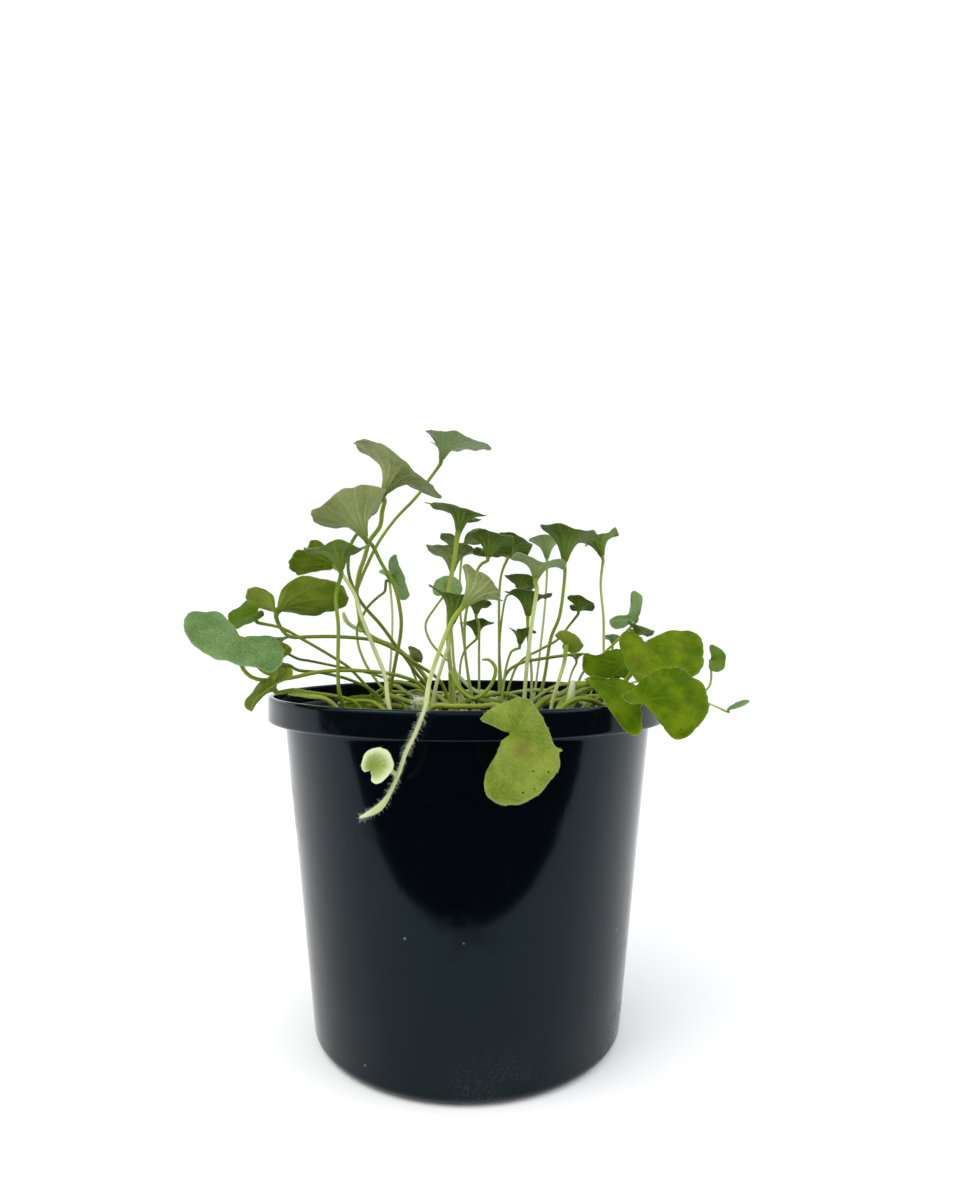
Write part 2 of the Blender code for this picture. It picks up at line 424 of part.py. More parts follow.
def wall_radius(height):
    """The pot body's outer radius at a height."""
    neck_height = POT_HEIGHT - COLLAR_HEIGHT - 1.6
    share = (height - FOOT_ROUNDING) / (neck_height - FOOT_ROUNDING)
    return FOOT_RADIUS + (NECK_RADIUS - FOOT_RADIUS) * share


def arc(centre_radius, centre_height, radius, start, end, steps):
    """Points of (radius, height) round an arc, with the angles in degrees from straight outwards."""
    found = []
    for step in range(steps + 1):
        angle = math.radians(start + (end - start) * step / steps)
        found.append((centre_radius + radius * math.cos(angle), centre_height + radius * math.sin(angle)))
    return found


def pot_profile():
    """The pot's section, from the underside's centre, up the outside, over the rim and down the inside."""
    neck_height = POT_HEIGHT - COLLAR_HEIGHT - 1.6
    collar_foot = POT_HEIGHT - COLLAR_HEIGHT
    underside = [
        (0, 0),
        (CENTRE_PAD_RADIUS, 0),
        (CENTRE_PAD_RADIUS + 1.5, BASE_RECESS),
        (FOOT_RADIUS - FOOT_ROUNDING - FOOT_RING_WIDTH - 1.0, BASE_RECESS),
        (FOOT_RADIUS - FOOT_ROUNDING - FOOT_RING_WIDTH, 0),
    ]
    foot = arc(FOOT_RADIUS - FOOT_ROUNDING, FOOT_ROUNDING, FOOT_ROUNDING, -90, 0, 3)
    shoulder = [
        (wall_radius(neck_height), neck_height),
        (NECK_RADIUS + 1.2, neck_height + 1.1),
        (COLLAR_RADIUS - 1.8, collar_foot),
        (COLLAR_RADIUS - 0.5, collar_foot + 0.7),
        (COLLAR_RADIUS, collar_foot + 2.2),
    ]
    lip = [
        (COLLAR_RADIUS, POT_HEIGHT - 1.3),
        (COLLAR_RADIUS - 0.6, POT_HEIGHT - 1.0),
        (COLLAR_RADIUS - 0.8, POT_HEIGHT),
        (COLLAR_RADIUS - WALL - 0.5, POT_HEIGHT),
    ]
    inside = [
        (COLLAR_RADIUS - WALL - 0.5, collar_foot + 2.4),
        (COLLAR_RADIUS - WALL - 1.6, collar_foot + WALL),
        (NECK_RADIUS - WALL + 1.0, neck_height + WALL + 0.9),
        (NECK_RADIUS - WALL, neck_height),
        (FOOT_RADIUS - WALL, FOOT_ROUNDING + BASE_RECESS),
        (FOOT_RADIUS - FOOT_ROUNDING, BASE_RECESS + BASE_THICKNESS),
        (0, BASE_RECESS + BASE_THICKNESS),
    ]
    return underside + foot + shoulder + lip + inside


def make_pot(material):
    points, faces = turned(pot_profile(), POT_SIDES)
    pot = object_from("nursery_pot", points, faces, material)
    face_outwards(pot)
    cutters = bpy.data.collections.new("drain_hole_cutters")
    for hole in range(DRAIN_HOLES):
        angle = math.tau * (hole + 0.5) / DRAIN_HOLES
        middle = (DRAIN_CIRCLE_RADIUS * math.cos(angle), DRAIN_CIRCLE_RADIUS * math.sin(angle), 0)
        cutters.objects.link(peg(f"drain_cutter_{hole}", middle, -5, 12, DRAIN_HOLE_RADIUS, 12, material))
    combine(pot, cutters, "DIFFERENCE")
    pot.data.shade_smooth()
    pot.data.set_sharp_from_angle(angle=math.radians(35))
    return pot


def peg(name, middle, below, above, radius, sides, material):
    """An upright round peg, from below to above the middle point, not linked to the scene."""
    points, faces = turned([(0, below), (radius, below), (radius, above), (0, above)], sides)
    points = [Vector(p) + Vector(middle) for p in points]
    thing = object_from(name, points, faces, material)
    bpy.context.scene.collection.objects.unlink(thing)
    face_outwards(thing)
    return thing


def combine(base, collection, operation, solver="EXACT"):
    """Joins or cuts the collection's objects in one Boolean, applies it, and removes them."""
    bpy.context.scene.collection.children.link(collection)
    modifier = base.modifiers.new("combine", "BOOLEAN")
    modifier.operation = operation
    modifier.operand_type = "COLLECTION"
    modifier.collection = collection
    modifier.solver = solver
    bpy.context.view_layer.update()
    shape = base.evaluated_get(bpy.context.evaluated_depsgraph_get())
    result = bpy.data.meshes.new_from_object(shape)
    base.modifiers.clear()
    base.data = result
    for thing in list(collection.objects):
        bpy.data.objects.remove(thing)
    bpy.data.collections.remove(collection)


def soil_height(x, y):
    """The height of the potting mix at a place: a low heap with small even lumps."""
    heap = SOIL_HEAP * (1 - (x * x + y * y) / NECK_RADIUS**2)
    lumps = math.sin(x * 0.31 + 1.0) * math.cos(y * 0.27 - 0.6) + 0.5 * math.sin(x * 0.11 - y * 0.35)
    return SOIL_TOP - SOIL_HEAP + heap + SOIL_ROUGHNESS * 0.6 * lumps


def make_soil(material, holes):
    """The potting mix, cut by a plain hole for each stem that stands in it."""
    floor = BASE_RECESS + BASE_THICKNESS + GAP
    corner = FOOT_ROUNDING + BASE_RECESS + 1.0
    profile = [(0, floor), (FOOT_RADIUS - FOOT_ROUNDING - GAP - 1.0, floor)]
    profile.append((wall_radius(corner) - WALL - 3 * GAP, corner))
    rim = wall_radius(SOIL_TOP - 2) - WALL - 3 * GAP
    profile += [(rim * (1 - ring / SOIL_RINGS), SOIL_TOP) for ring in range(SOIL_RINGS)]
    profile.append((0, SOIL_TOP))
    points, faces = turned(profile, SOIL_SIDES)
    points = [(x, y, soil_height(x, y) if z == SOIL_TOP else z) for x, y, z in points]
    soil = object_from("potting_mix", points, faces, material)
    face_outwards(soil)
    cutters = bpy.data.collections.new("stem_hole_cutters")
    for number, (middle, radius) in enumerate(holes):
        depth = -ROOT_DEPTH - 3 * GAP
        cutters.objects.link(peg(f"stem_cutter_{number}", middle, depth, 8, radius + 2 * GAP, 6, material))
    combine(soil, cutters, "DIFFERENCE")
    return soil


def smooth_route(points, step):
    """Points on a smooth curve through the given ones, all of which it keeps."""
    ends = [points[0] * 2 - points[1], *points, points[-1] * 2 - points[-2]]
    route = [points[0]]
    for before, start, end, after in zip(ends, ends[1:], ends[2:], ends[3:]):
        pieces = max(1, round((end - start).length / step))
        for piece in range(1, pieces + 1):
            t = piece / pieces
            across = 2 * start + (end - before) * t + (2 * before - 5 * start + 4 * end - after) * t**2
            route.append((across + (3 * start - before - 3 * end + after) * t**3) / 2)
    return route


def stem_tube(name, points, radius, flare, material):
    """A closed tube along a smooth route. It swells by flare where it spreads into a blade."""
    route = smooth_route([Vector(p) for p in points], STEM_STEP)
    corners, faces = [], []
    across = None
    for number, point in enumerate(route):
        ahead = route[min(number + 1, len(route) - 1)] - route[max(number - 1, 0)]
        ahead.normalize()
        if across is None:
            across = ahead.orthogonal()
        across = (across - ahead * across.dot(ahead)).normalized()
        up = ahead.cross(across)
        swell = flare if number == len(route) - 1 else 1.0
        for side in range(STEM_SIDES):
            angle = math.tau * side / STEM_SIDES
            offset = across * math.cos(angle) + up * math.sin(angle)
            corners.append(point + offset * radius * swell)
    for ring in range(len(route) - 1):
        for side in range(STEM_SIDES):
            low = ring * STEM_SIDES + side
            high = ring * STEM_SIDES + (side + 1) % STEM_SIDES
            faces.append((low, high, high + STEM_SIDES, low + STEM_SIDES))
    faces.append(tuple(reversed(range(STEM_SIDES))))
    faces.append(tuple(range(len(corners) - STEM_SIDES, len(corners))))
    thing = object_from(name, corners, faces, material)
    face_outwards(thing)
    return thing


def outline_point(leaf, across):
    """A point (along the tip, sideways) on a kidney-shaped edge. across runs from -1 to 1 round it."""
    angle = across * math.radians(leaf.lobe_angle)
    reach = 0.97 - 0.12 * math.cos(angle) - 0.05 * math.exp(-((angle / 0.3) ** 2))
    reach *= max((1 - abs(across) ** 8) ** 0.45, 0.1) * leaf.width / 2
    return reach * math.cos(angle), reach * math.sin(angle)


def blade_edge(leaf):
    """The blade's edge as points of (along the tip, sideways), from one side of its notch to the other."""
    if leaf.edge:
        return leaf.edge
    count = SMALL_BLADE_SPOKES if leaf.width < SMALL_BLADE_WIDTH else BLADE_SPOKES
    spokes = [math.sin(math.pi / 2 * (2 * n / (count - 1) - 1)) for n in range(count)]
    return [outline_point(leaf, across) for across in spokes]


def blade_frame(leaf):
    """The blade's own three directions: its face's, its tip's and its side's."""
    face = Vector(leaf.face).normalized()
    tip = Vector(leaf.tip)
    tip = (tip - face * tip.dot(face)).normalized()
    return face, tip, face.cross(tip)


def blade_point(leaf, edge_point, share):
    """A point of a blade's upper face, from its stem (share 0) to its edge (share 1)."""
    face, tip, side = blade_frame(leaf)
    half = leaf.width / 2
    along, sideways = edge_point[0] * share, edge_point[1] * share
    reach, angle = math.hypot(along, sideways), math.atan2(sideways, along)
    rise = leaf.cup * leaf.width * (1 - math.exp(-reach / (0.24 * half)))
    rise -= leaf.sag_tip * 1.5 * max(along, 0) ** 2 / half
    rise -= leaf.sag_side * 1.5 * sideways**2 / half
    rise += leaf.wave * leaf.width * share**2 * math.sin(3.3 * angle + leaf.width)
    rise += leaf.fold * (math.hypot(sideways, 1.0) - 1.0)
    return Vector(leaf.stem[-1]) + tip * along + side * sideways + face * rise


def blade(leaf, material):
    """A closed thin blade: two like faces of triangles, and the edge between them."""
    edge = blade_edge(leaf)
    shares = (0.25, 0.6, 1.0) if leaf.cup > 0.1 and leaf.width > SMALL_BLADE_WIDTH + 2 else (0.4, 1.0)
    rings = len(shares)
    top = [blade_point(leaf, edge[0], 0)]
    top += [blade_point(leaf, edge_point, share) for edge_point in edge for share in shares]
    triangles = []
    for spoke in range(len(edge) - 1):
        here, there = 1 + spoke * rings, 1 + (spoke + 1) * rings
        triangles.append((0, here, there))
        for ring in range(rings - 1):
            triangles.append((here + ring, here + ring + 1, there + ring + 1))
            triangles.append((here + ring, there + ring + 1, there + ring))
    normals = [Vector((0, 0, 0)) for _ in top]
    for a, b, c in triangles:
        normal = (top[b] - top[a]).cross(top[c] - top[a])
        for corner in (a, b, c):
            normals[corner] += normal
    under = [p - n.normalized() * BLADE_THICKNESS for p, n in zip(top, normals)]
    count = len(top)
    faces = triangles + [(c + count, b + count, a + count) for a, b, c in triangles]
    loop = list(range(rings + 1))
    loop += [spoke * rings + rings for spoke in range(1, len(edge))]
    loop += [(len(edge) - 1) * rings + ring for ring in range(rings - 1, 0, -1)]
    for a, b in zip(loop, loop[1:] + loop[:1]):
        faces.append((a, b + count, b))
        faces.append((a, a + count, b + count))
    return object_from(leaf.name, top + under, faces, material)


def is_rooted(leaf):
    """True where a stem starts on the potting mix, and not on another stem."""
    x, y, z = leaf.stem[0]
    return abs(z - ROOT_LIFT - SOIL_TOP) < 0.01


def creeping_runner(spray):
    """The runner that lies on the mix from root to root of a spray, and goes down into it at the first."""
    roots = [Vector(leaf.stem[0]) for leaf in spray if is_rooted(leaf)]
    start = roots[0] + Vector((0, 0, -ROOT_DEPTH - ROOT_LIFT))
    if len(roots) == 1:
        return [start, roots[0]]
    end = roots[-1] + (roots[-1] - roots[-2]).normalized() * RUNNER_END
    return [start, *roots, end]


def stem_route(leaf):
    """A leaf's stem, with a short neck that meets the blade from beneath."""
    route = [Vector(p) for p in leaf.stem]
    if is_rooted(leaf):
        route[0].z -= STEM_SINK
    if leaf.width:
        face = blade_frame(leaf)[0]
        end = route.pop()
        if (route[-1] - end).length < 1.6 * NECK and len(route) > 2:
            route.pop()
        route += [end - face * NECK, end - face * BLADE_THICKNESS / 2]
    return route


def make_spray(name, spray, material):
    """One leafy spray: its runner, stems and blades, joined in one solid."""
    runner = stem_tube(name, creeping_runner(spray), RUNNER_RADIUS, 1.0, material)
    grown = bpy.data.collections.new(name + "_growth")
    for leaf in spray:
        flare = STEM_FLARE if leaf.width else 1.0
        pieces = [stem_tube(leaf.name + "_stem", stem_route(leaf), leaf.radius, flare, material)]
        if leaf.width:
            pieces.append(blade(leaf, material))
        for piece in pieces:
            bpy.context.scene.collection.objects.unlink(piece)
            grown.objects.link(piece)
    combine(runner, grown, "UNION", "MANIFOLD")
    runner.data.shade_smooth()
    runner.data.set_sharp_from_angle(angle=math.radians(50))
    return runner


def root_holes():
    """(place, radius) of each hole in the potting mix."""
    holes = []
    for spray in SPRAYS.values():
        root = next(leaf.stem[0] for leaf in spray if is_rooted(leaf))
        holes.append(((root[0], root[1], SOIL_TOP), RUNNER_RADIUS))
    return holes


def main():
    clear_scene()
    black_plastic = plain_material("black_plastic", (0.010, 0.014, 0.018), 0.28)
    potting_mix = plain_material("potting_mix", (0.045, 0.030, 0.020), 0.95)
    leaf_green = plain_material("leaf_green", (0.19, 0.31, 0.11), 0.55)
    make_pot(black_plastic)
    make_soil(potting_mix, root_holes())
    for name, spray in SPRAYS.items():
        make_spray(name, spray, leaf_green)


main()
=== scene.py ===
"""The looks of a potted silver dichondra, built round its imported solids.

Lengths are in millimetres and are turned into metres by MM where a mesh is made. The part stands on
the floor at the origin, +Z is up and -Y is its front.
"""
import math
import random
from collections import namedtuple

import bpy
from mathutils import Euler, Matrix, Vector, noise


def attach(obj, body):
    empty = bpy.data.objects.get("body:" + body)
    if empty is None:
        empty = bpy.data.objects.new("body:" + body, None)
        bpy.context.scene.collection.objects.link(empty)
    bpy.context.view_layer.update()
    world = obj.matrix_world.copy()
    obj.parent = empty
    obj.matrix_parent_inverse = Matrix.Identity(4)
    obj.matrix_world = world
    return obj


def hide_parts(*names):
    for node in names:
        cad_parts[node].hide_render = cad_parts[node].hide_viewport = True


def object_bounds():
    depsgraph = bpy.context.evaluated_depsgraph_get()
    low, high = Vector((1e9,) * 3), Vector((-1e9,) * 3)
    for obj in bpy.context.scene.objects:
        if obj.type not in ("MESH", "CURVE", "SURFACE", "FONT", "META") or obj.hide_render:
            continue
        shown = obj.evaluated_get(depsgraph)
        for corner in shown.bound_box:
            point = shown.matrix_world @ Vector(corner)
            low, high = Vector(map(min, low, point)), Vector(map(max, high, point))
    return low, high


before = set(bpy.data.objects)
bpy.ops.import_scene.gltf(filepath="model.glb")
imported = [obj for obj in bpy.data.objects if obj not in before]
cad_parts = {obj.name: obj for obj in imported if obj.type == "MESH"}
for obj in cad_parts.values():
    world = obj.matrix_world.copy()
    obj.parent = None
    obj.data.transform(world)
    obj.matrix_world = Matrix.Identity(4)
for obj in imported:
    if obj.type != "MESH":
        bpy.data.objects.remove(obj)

cad_box = [list(corner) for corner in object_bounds()]
MM = 0.001

# The nursery pot. It is moulded in one shot from near-black gloss polypropylene, with a stepped collar
# that stiffens the rim, a rounded foot, a recessed base with a pad under its gate, and drain holes.
POT_HEIGHT = 115.0
COLLAR_RADIUS = 70.0
COLLAR_HEIGHT = 8.4
COLLAR_ROUNDING = 0.8
NECK_RADIUS = 64.2
FOOT_RADIUS = 53.4
FOOT_ROUNDING = 3.6
WALL = 1.3
FOOT_RING_WIDTH = 4.0
CENTRE_PAD_RADIUS = 9.0
BASE_RECESS = 2.0
BASE_THICKNESS = 1.6
DRAIN_HOLES = 8
DRAIN_HOLE_RADIUS = 4.5
DRAIN_CIRCLE_RADIUS = 38.0
POT_SIDES = 180
NECK_HEIGHT = POT_HEIGHT - COLLAR_HEIGHT - 1.6
COLLAR_FOOT = POT_HEIGHT - COLLAR_HEIGHT
SUPPORT = 0.5


def round_corner(middle_radius, middle_height, radius, start, end, steps):
    """Points of (radius, height) round a corner, with the angles in degrees from straight outwards."""
    corner = []
    for step in range(steps + 1):
        angle = math.radians(start + (end - start) * step / steps)
        corner.append((middle_radius + radius * math.cos(angle), middle_height + radius * math.sin(angle)))
    return corner


def pot_section():
    """The pot's section, from the middle of the underside, up the outside and down the inside."""
    ring = FOOT_RADIUS - FOOT_ROUNDING - FOOT_RING_WIDTH
    section = [(0, 0), (CENTRE_PAD_RADIUS - 0.4, 0), (CENTRE_PAD_RADIUS, 0.3)]
    section += [(CENTRE_PAD_RADIUS + 1.5, BASE_RECESS), (ring - 1.0, BASE_RECESS), (ring - 0.2, 0.3), (ring, 0)]
    section += round_corner(FOOT_RADIUS - FOOT_ROUNDING, FOOT_ROUNDING, FOOT_ROUNDING, -90, 0, 10)
    section += [(NECK_RADIUS, NECK_HEIGHT), (NECK_RADIUS + 0.2, COLLAR_FOOT - 0.3)]
    section += [(NECK_RADIUS + 0.5, COLLAR_FOOT), (COLLAR_RADIUS - COLLAR_ROUNDING - 0.5, COLLAR_FOOT)]
    section += round_corner(COLLAR_RADIUS - COLLAR_ROUNDING, COLLAR_FOOT + COLLAR_ROUNDING, COLLAR_ROUNDING, -90, 0, 6)
    section += round_corner(COLLAR_RADIUS - 1.0, POT_HEIGHT - 1.0, 1.0, 0, 90, 8)
    section += round_corner(COLLAR_RADIUS - 1.2, POT_HEIGHT - 0.6, 0.6, 90, 180, 6)
    section += [(COLLAR_RADIUS - WALL - 0.5, COLLAR_FOOT + 2.4), (COLLAR_RADIUS - WALL - 1.6, COLLAR_FOOT + WALL)]
    section += [(NECK_RADIUS - WALL + 1.0, NECK_HEIGHT + WALL + 0.9), (NECK_RADIUS - WALL, NECK_HEIGHT)]
    section += [(FOOT_RADIUS - WALL, FOOT_ROUNDING + BASE_RECESS)]
    section += [(FOOT_RADIUS - FOOT_ROUNDING, BASE_RECESS + BASE_THICKNESS), (0, BASE_RECESS + BASE_THICKNESS)]
    return section


def hold_corners(section):
    """Adds a ring close to each end of a long straight run, so that the shading of its corners stays narrow."""
    held = [section[0]]
    for (r0, z0), (r1, z1) in zip(section, section[1:]):
        run = math.hypot(r1 - r0, z1 - z0)
        if run > 4 * SUPPORT:
            for share in (SUPPORT / run, 1 - SUPPORT / run):
                held.append((r0 + (r1 - r0) * share, z0 + (z1 - z0) * share))
        held.append((r1, z1))
    return held


def turn(section, sides):
    """Points and faces of a section turned round Z. Both of its ends lie on the axis."""
    points = [(0, 0, section[0][1])]
    for radius, height in section[1:-1]:
        for side in range(sides):
            angle = math.tau * side / sides
            points.append((radius * math.cos(angle), radius * math.sin(angle), height))
    points.append((0, 0, section[-1][1]))
    rings, last = len(section) - 2, len(points) - 1
    faces = []
    for side in range(sides):
        ahead = (side + 1) % sides
        faces.append((0, 1 + ahead, 1 + side))
        for ring in range(rings - 1):
            low, high = 1 + ring * sides, 1 + (ring + 1) * sides
            faces.append((low + side, low + ahead, high + ahead, high + side))
        top = 1 + (rings - 1) * sides
        faces.append((top + side, top + ahead, last))
    return points, faces


def make_piece(name, points, faces, finishes, slots=None):
    """A smooth-shaded object from points in millimetres. slots says which finish each face wears."""
    mesh = bpy.data.meshes.new(name)
    mesh.from_pydata([Vector(p) * MM for p in points], [], faces)
    for finish in finishes:
        mesh.materials.append(finish)
    if slots:
        mesh.polygons.foreach_set("material_index", slots)
    mesh.shade_smooth()
    piece = bpy.data.objects.new(name, mesh)
    bpy.context.scene.collection.objects.link(piece)
    return piece


def add(tree, kind, inputs=None, **settings):
    """A shader node. An input is another node's socket or a plain value."""
    made = tree.nodes.new("ShaderNode" + kind)
    for key, value in settings.items():
        setattr(made, key, value)
    for socket, value in (inputs or {}).items():
        if isinstance(value, bpy.types.NodeSocket):
            tree.links.new(value, made.inputs[socket])
        else:
            made.inputs[socket].default_value = value
    return made


def calc(tree, operation, *values):
    """One step of arithmetic on sockets or numbers."""
    return add(tree, "Math", dict(enumerate(values)), operation=operation).outputs[0]


def blend(tree, share, first, second):
    """A colour between two, by a share from 0 to 1."""
    colours = [c if isinstance(c, bpy.types.NodeSocket) else (*c, 1) for c in (first, second)]
    return add(tree, "Mix", {0: share, 6: colours[0], 7: colours[1]}, data_type="RGBA").outputs[2]


def ramp(tree, value, low, high, low_out=0.0, high_out=1.0):
    """Turns a run of values into a smooth share."""
    inputs = {"Value": value, "From Min": low, "From Max": high, "To Min": low_out, "To Max": high_out}
    return add(tree, "MapRange", inputs, interpolation_type="SMOOTHSTEP").outputs[0]


def new_finish(name):
    """A material with its tree and its Principled shader."""
    finish = bpy.data.materials.new(name)
    finish.use_nodes = True
    return finish, finish.node_tree, finish.node_tree.nodes["Principled BSDF"]


def set_shader(tree, shader, **inputs):
    """Sets the shader's sockets, whose names are written with _ for a space."""
    for key, value in inputs.items():
        socket = shader.inputs[key.replace("_", " ")]
        if isinstance(value, bpy.types.NodeSocket):
            tree.links.new(value, socket)
        else:
            socket.default_value = value


def pot_plastic():
    """Gloss near-black plastic: flow lines down the wall, rubbed patches, and dust low down."""
    finish, tree, shader = new_finish("pot_plastic")
    place = add(tree, "TexCoord").outputs["Object"]
    height = add(tree, "SeparateXYZ", {0: place}).outputs["Z"]
    stretched = add(tree, "Mapping", {"Vector": place, "Scale": (1, 1, 0.06)}).outputs[0]
    flow = add(tree, "TexNoise", {"Vector": stretched, "Scale": 260, "Detail": 3}).outputs[0]
    patches = add(tree, "TexNoise", {"Vector": place, "Scale": 34, "Detail": 6, "Roughness": 0.65}).outputs[0]
    grains = add(tree, "TexNoise", {"Vector": place, "Scale": 1500, "Detail": 2}).outputs[0]
    specks = add(tree, "TexVoronoi", {"Vector": place, "Scale": 95}).outputs["Distance"]
    low = ramp(tree, height, 0.0, 0.03, 1, 0)
    rubbed = ramp(tree, patches, 0.5, 0.72)
    dust = calc(tree, "MULTIPLY", low, ramp(tree, patches, 0.42, 0.62))
    dust = calc(tree, "MULTIPLY", dust, ramp(tree, grains, 0.4, 0.7))
    speck = calc(tree, "MULTIPLY", ramp(tree, specks, 0.025, 0.05, 1, 0), ramp(tree, patches, 0.46, 0.5))
    colour = blend(tree, flow, (0.0003, 0.0009, 0.0018), (0.0008, 0.0019, 0.0034))
    colour = blend(tree, calc(tree, "MULTIPLY", dust, 0.22), colour, (0.055, 0.052, 0.046))
    colour = blend(tree, calc(tree, "MULTIPLY", speck, 0.6), colour, (0.2, 0.19, 0.17))
    rough = calc(tree, "ADD", ramp(tree, rubbed, 0, 1, 0.1, 0.26), calc(tree, "MULTIPLY", dust, 0.3))
    wave = add(tree, "TexNoise", {"Vector": place, "Scale": 55, "Detail": 1}).outputs[0]
    level = calc(tree, "ADD", calc(tree, "MULTIPLY", wave, 1.0), calc(tree, "MULTIPLY", flow, 0.16))
    bump = add(tree, "Bump", {"Height": level, "Strength": 0.22, "Distance": 0.0006}).outputs[0]
    set_shader(tree, shader, Base_Color=colour, Roughness=rough, Normal=bump, IOR=1.49)
    set_shader(tree, shader, Specular_Tint=(0.56, 0.84, 1.0, 1))
    shader.inputs["Specular IOR Level"].default_value = 0.22
    return finish


def cut_holes(piece, places, radius, low, high):
    """Cuts upright round holes through a piece."""
    points, faces = [], []
    for x, y in places:
        drill, sides = turn([(0, low), (radius, low), (radius, high), (0, high)], 40)
        faces += [tuple(corner + len(points) for corner in side) for side in sides]
        points += [(x + px, y + py, pz) for px, py, pz in drill]
    drills = make_piece("drills", points, faces, [])
    cut = piece.modifiers.new("drain_holes", "BOOLEAN")
    cut.object = drills
    cut.operation = "DIFFERENCE"
    shown = piece.evaluated_get(bpy.context.evaluated_depsgraph_get())
    mesh = bpy.data.meshes.new_from_object(shown)
    piece.modifiers.clear()
    piece.data = mesh
    bpy.data.objects.remove(drills)


pot_points, pot_faces = turn(hold_corners(pot_section()), POT_SIDES)
pot = make_piece("moulded_pot", pot_points, pot_faces, [pot_plastic()])
hole_places = []
for hole in range(DRAIN_HOLES):
    turned = math.tau * (hole + 0.5) / DRAIN_HOLES
    hole_places.append((DRAIN_CIRCLE_RADIUS * math.cos(turned), DRAIN_CIRCLE_RADIUS * math.sin(turned)))
cut_holes(pot, hole_places, DRAIN_HOLE_RADIUS, -5, 8)
pot.data.set_sharp_from_angle(angle=math.radians(38))
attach(pot, "root")
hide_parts("nursery_pot")

# The potting mix, a moist dark blend of peat and composted bark. It heaps a little towards the middle,
# and crumbs and bark slivers lie loose on its top.
MIX_TOP = 101.5
MIX_HEAP = 1.6
MIX_LUMPS = 0.7
MIX_RINGS = 34
MIX_SIDES = 120
MIX_GAP = 0.3
CRUMBS = 1500
SLIVERS = 190


def mix_height(x, y):
    """The height of the mix at a place: a low heap with even lumps."""
    heap = MIX_HEAP * (1 - (x * x + y * y) / NECK_RADIUS**2)
    lumps = math.sin(x * 0.31 + 1.0) * math.cos(y * 0.27 - 0.6) + 0.5 * math.sin(x * 0.11 - y * 0.35)
    return MIX_TOP - MIX_HEAP + heap + MIX_LUMPS * 0.6 * lumps


def wall_radius(height):
    """The outer radius of the pot's wall at a height."""
    share = (height - FOOT_ROUNDING) / (NECK_HEIGHT - FOOT_ROUNDING)
    return FOOT_RADIUS + (NECK_RADIUS - FOOT_RADIUS) * share


def crumb(points, faces, middle, size, stretch, spin):
    """A small broken lump, from a roughened ball of twelve corners."""
    golden = (1 + 5**0.5) / 2
    corners = [(-1, golden, 0), (1, golden, 0), (-1, -golden, 0), (1, -golden, 0)]
    corners += [(0, -1, golden), (0, 1, golden), (0, -1, -golden), (0, 1, -golden)]
    corners += [(golden, 0, -1), (golden, 0, 1), (-golden, 0, -1), (-golden, 0, 1)]
    sides = [(0, 11, 5), (0, 5, 1), (0, 1, 7), (0, 7, 10), (0, 10, 11), (1, 5, 9), (5, 11, 4)]
    sides += [(11, 10, 2), (10, 7, 6), (7, 1, 8), (3, 9, 4), (3, 4, 2), (3, 2, 6), (3, 6, 8)]
    sides += [(3, 8, 9), (4, 9, 5), (2, 4, 11), (6, 2, 10), (8, 6, 7), (9, 8, 1)]
    start = len(points)
    for corner in corners:
        bent = Vector(corner) * (size / 3.8) * random.uniform(0.7, 1.25)
        bent.x *= stretch
        bent.rotate(spin)
        points.append(middle + bent)
    faces += [tuple(corner + start for corner in side) for side in sides]


def mix_finish():
    """Dark moist crumbs, each its own brown, from peat black to bark red, with painted shade in their fine grain."""
    finish, tree, shader = new_finish("crumbly_mix")
    place = add(tree, "TexCoord").outputs["Object"]
    lumps = add(tree, "TexVoronoi", {"Vector": place, "Scale": 420}).outputs["Color"]
    pick = add(tree, "SeparateColor", {0: lumps}).outputs[0]
    grain = add(tree, "TexNoise", {"Vector": place, "Scale": 1400, "Detail": 5, "Roughness": 0.7}).outputs[0]
    colour = blend(tree, ramp(tree, pick, 0.0, 0.8), (0.006, 0.0045, 0.0035), (0.035, 0.02, 0.011))
    colour = blend(tree, ramp(tree, pick, 0.86, 0.98), colour, (0.11, 0.075, 0.045))
    # The fine grain darkens the crumbs up to half-way to near black: painted shade among the grains.
    colour = blend(tree, ramp(tree, grain, 0.35, 0.75, 0.0, 0.5), colour, (0.004, 0.003, 0.003))
    bump = add(tree, "Bump", {"Height": grain, "Strength": 0.7, "Distance": 0.0008}).outputs[0]
    set_shader(tree, shader, Base_Color=colour, Roughness=0.92, Normal=bump)
    shader.inputs["Specular IOR Level"].default_value = 0.25
    return finish


random.seed(41)
mix_floor = BASE_RECESS + BASE_THICKNESS + MIX_GAP
mix_corner = FOOT_ROUNDING + BASE_RECESS + 1.0
mix_rim = wall_radius(MIX_TOP - 2) - WALL - 3 * MIX_GAP
mix_section = [(0, mix_floor), (FOOT_RADIUS - FOOT_ROUNDING - MIX_GAP - 1.0, mix_floor)]
mix_section += [(wall_radius(mix_corner) - WALL - 3 * MIX_GAP, mix_corner)]
mix_section += [(mix_rim * (1 - ring / MIX_RINGS), MIX_TOP) for ring in range(MIX_RINGS + 1)]
mix_points, mix_faces = turn(mix_section, MIX_SIDES)
for number, (x, y, z) in enumerate(mix_points):
    if z == MIX_TOP:
        rough = noise.fractal(Vector((x, y, 0)) * 0.45, 0.8, 2.1, 4) * 0.7
        mix_points[number] = (x, y, mix_height(x, y) + rough)
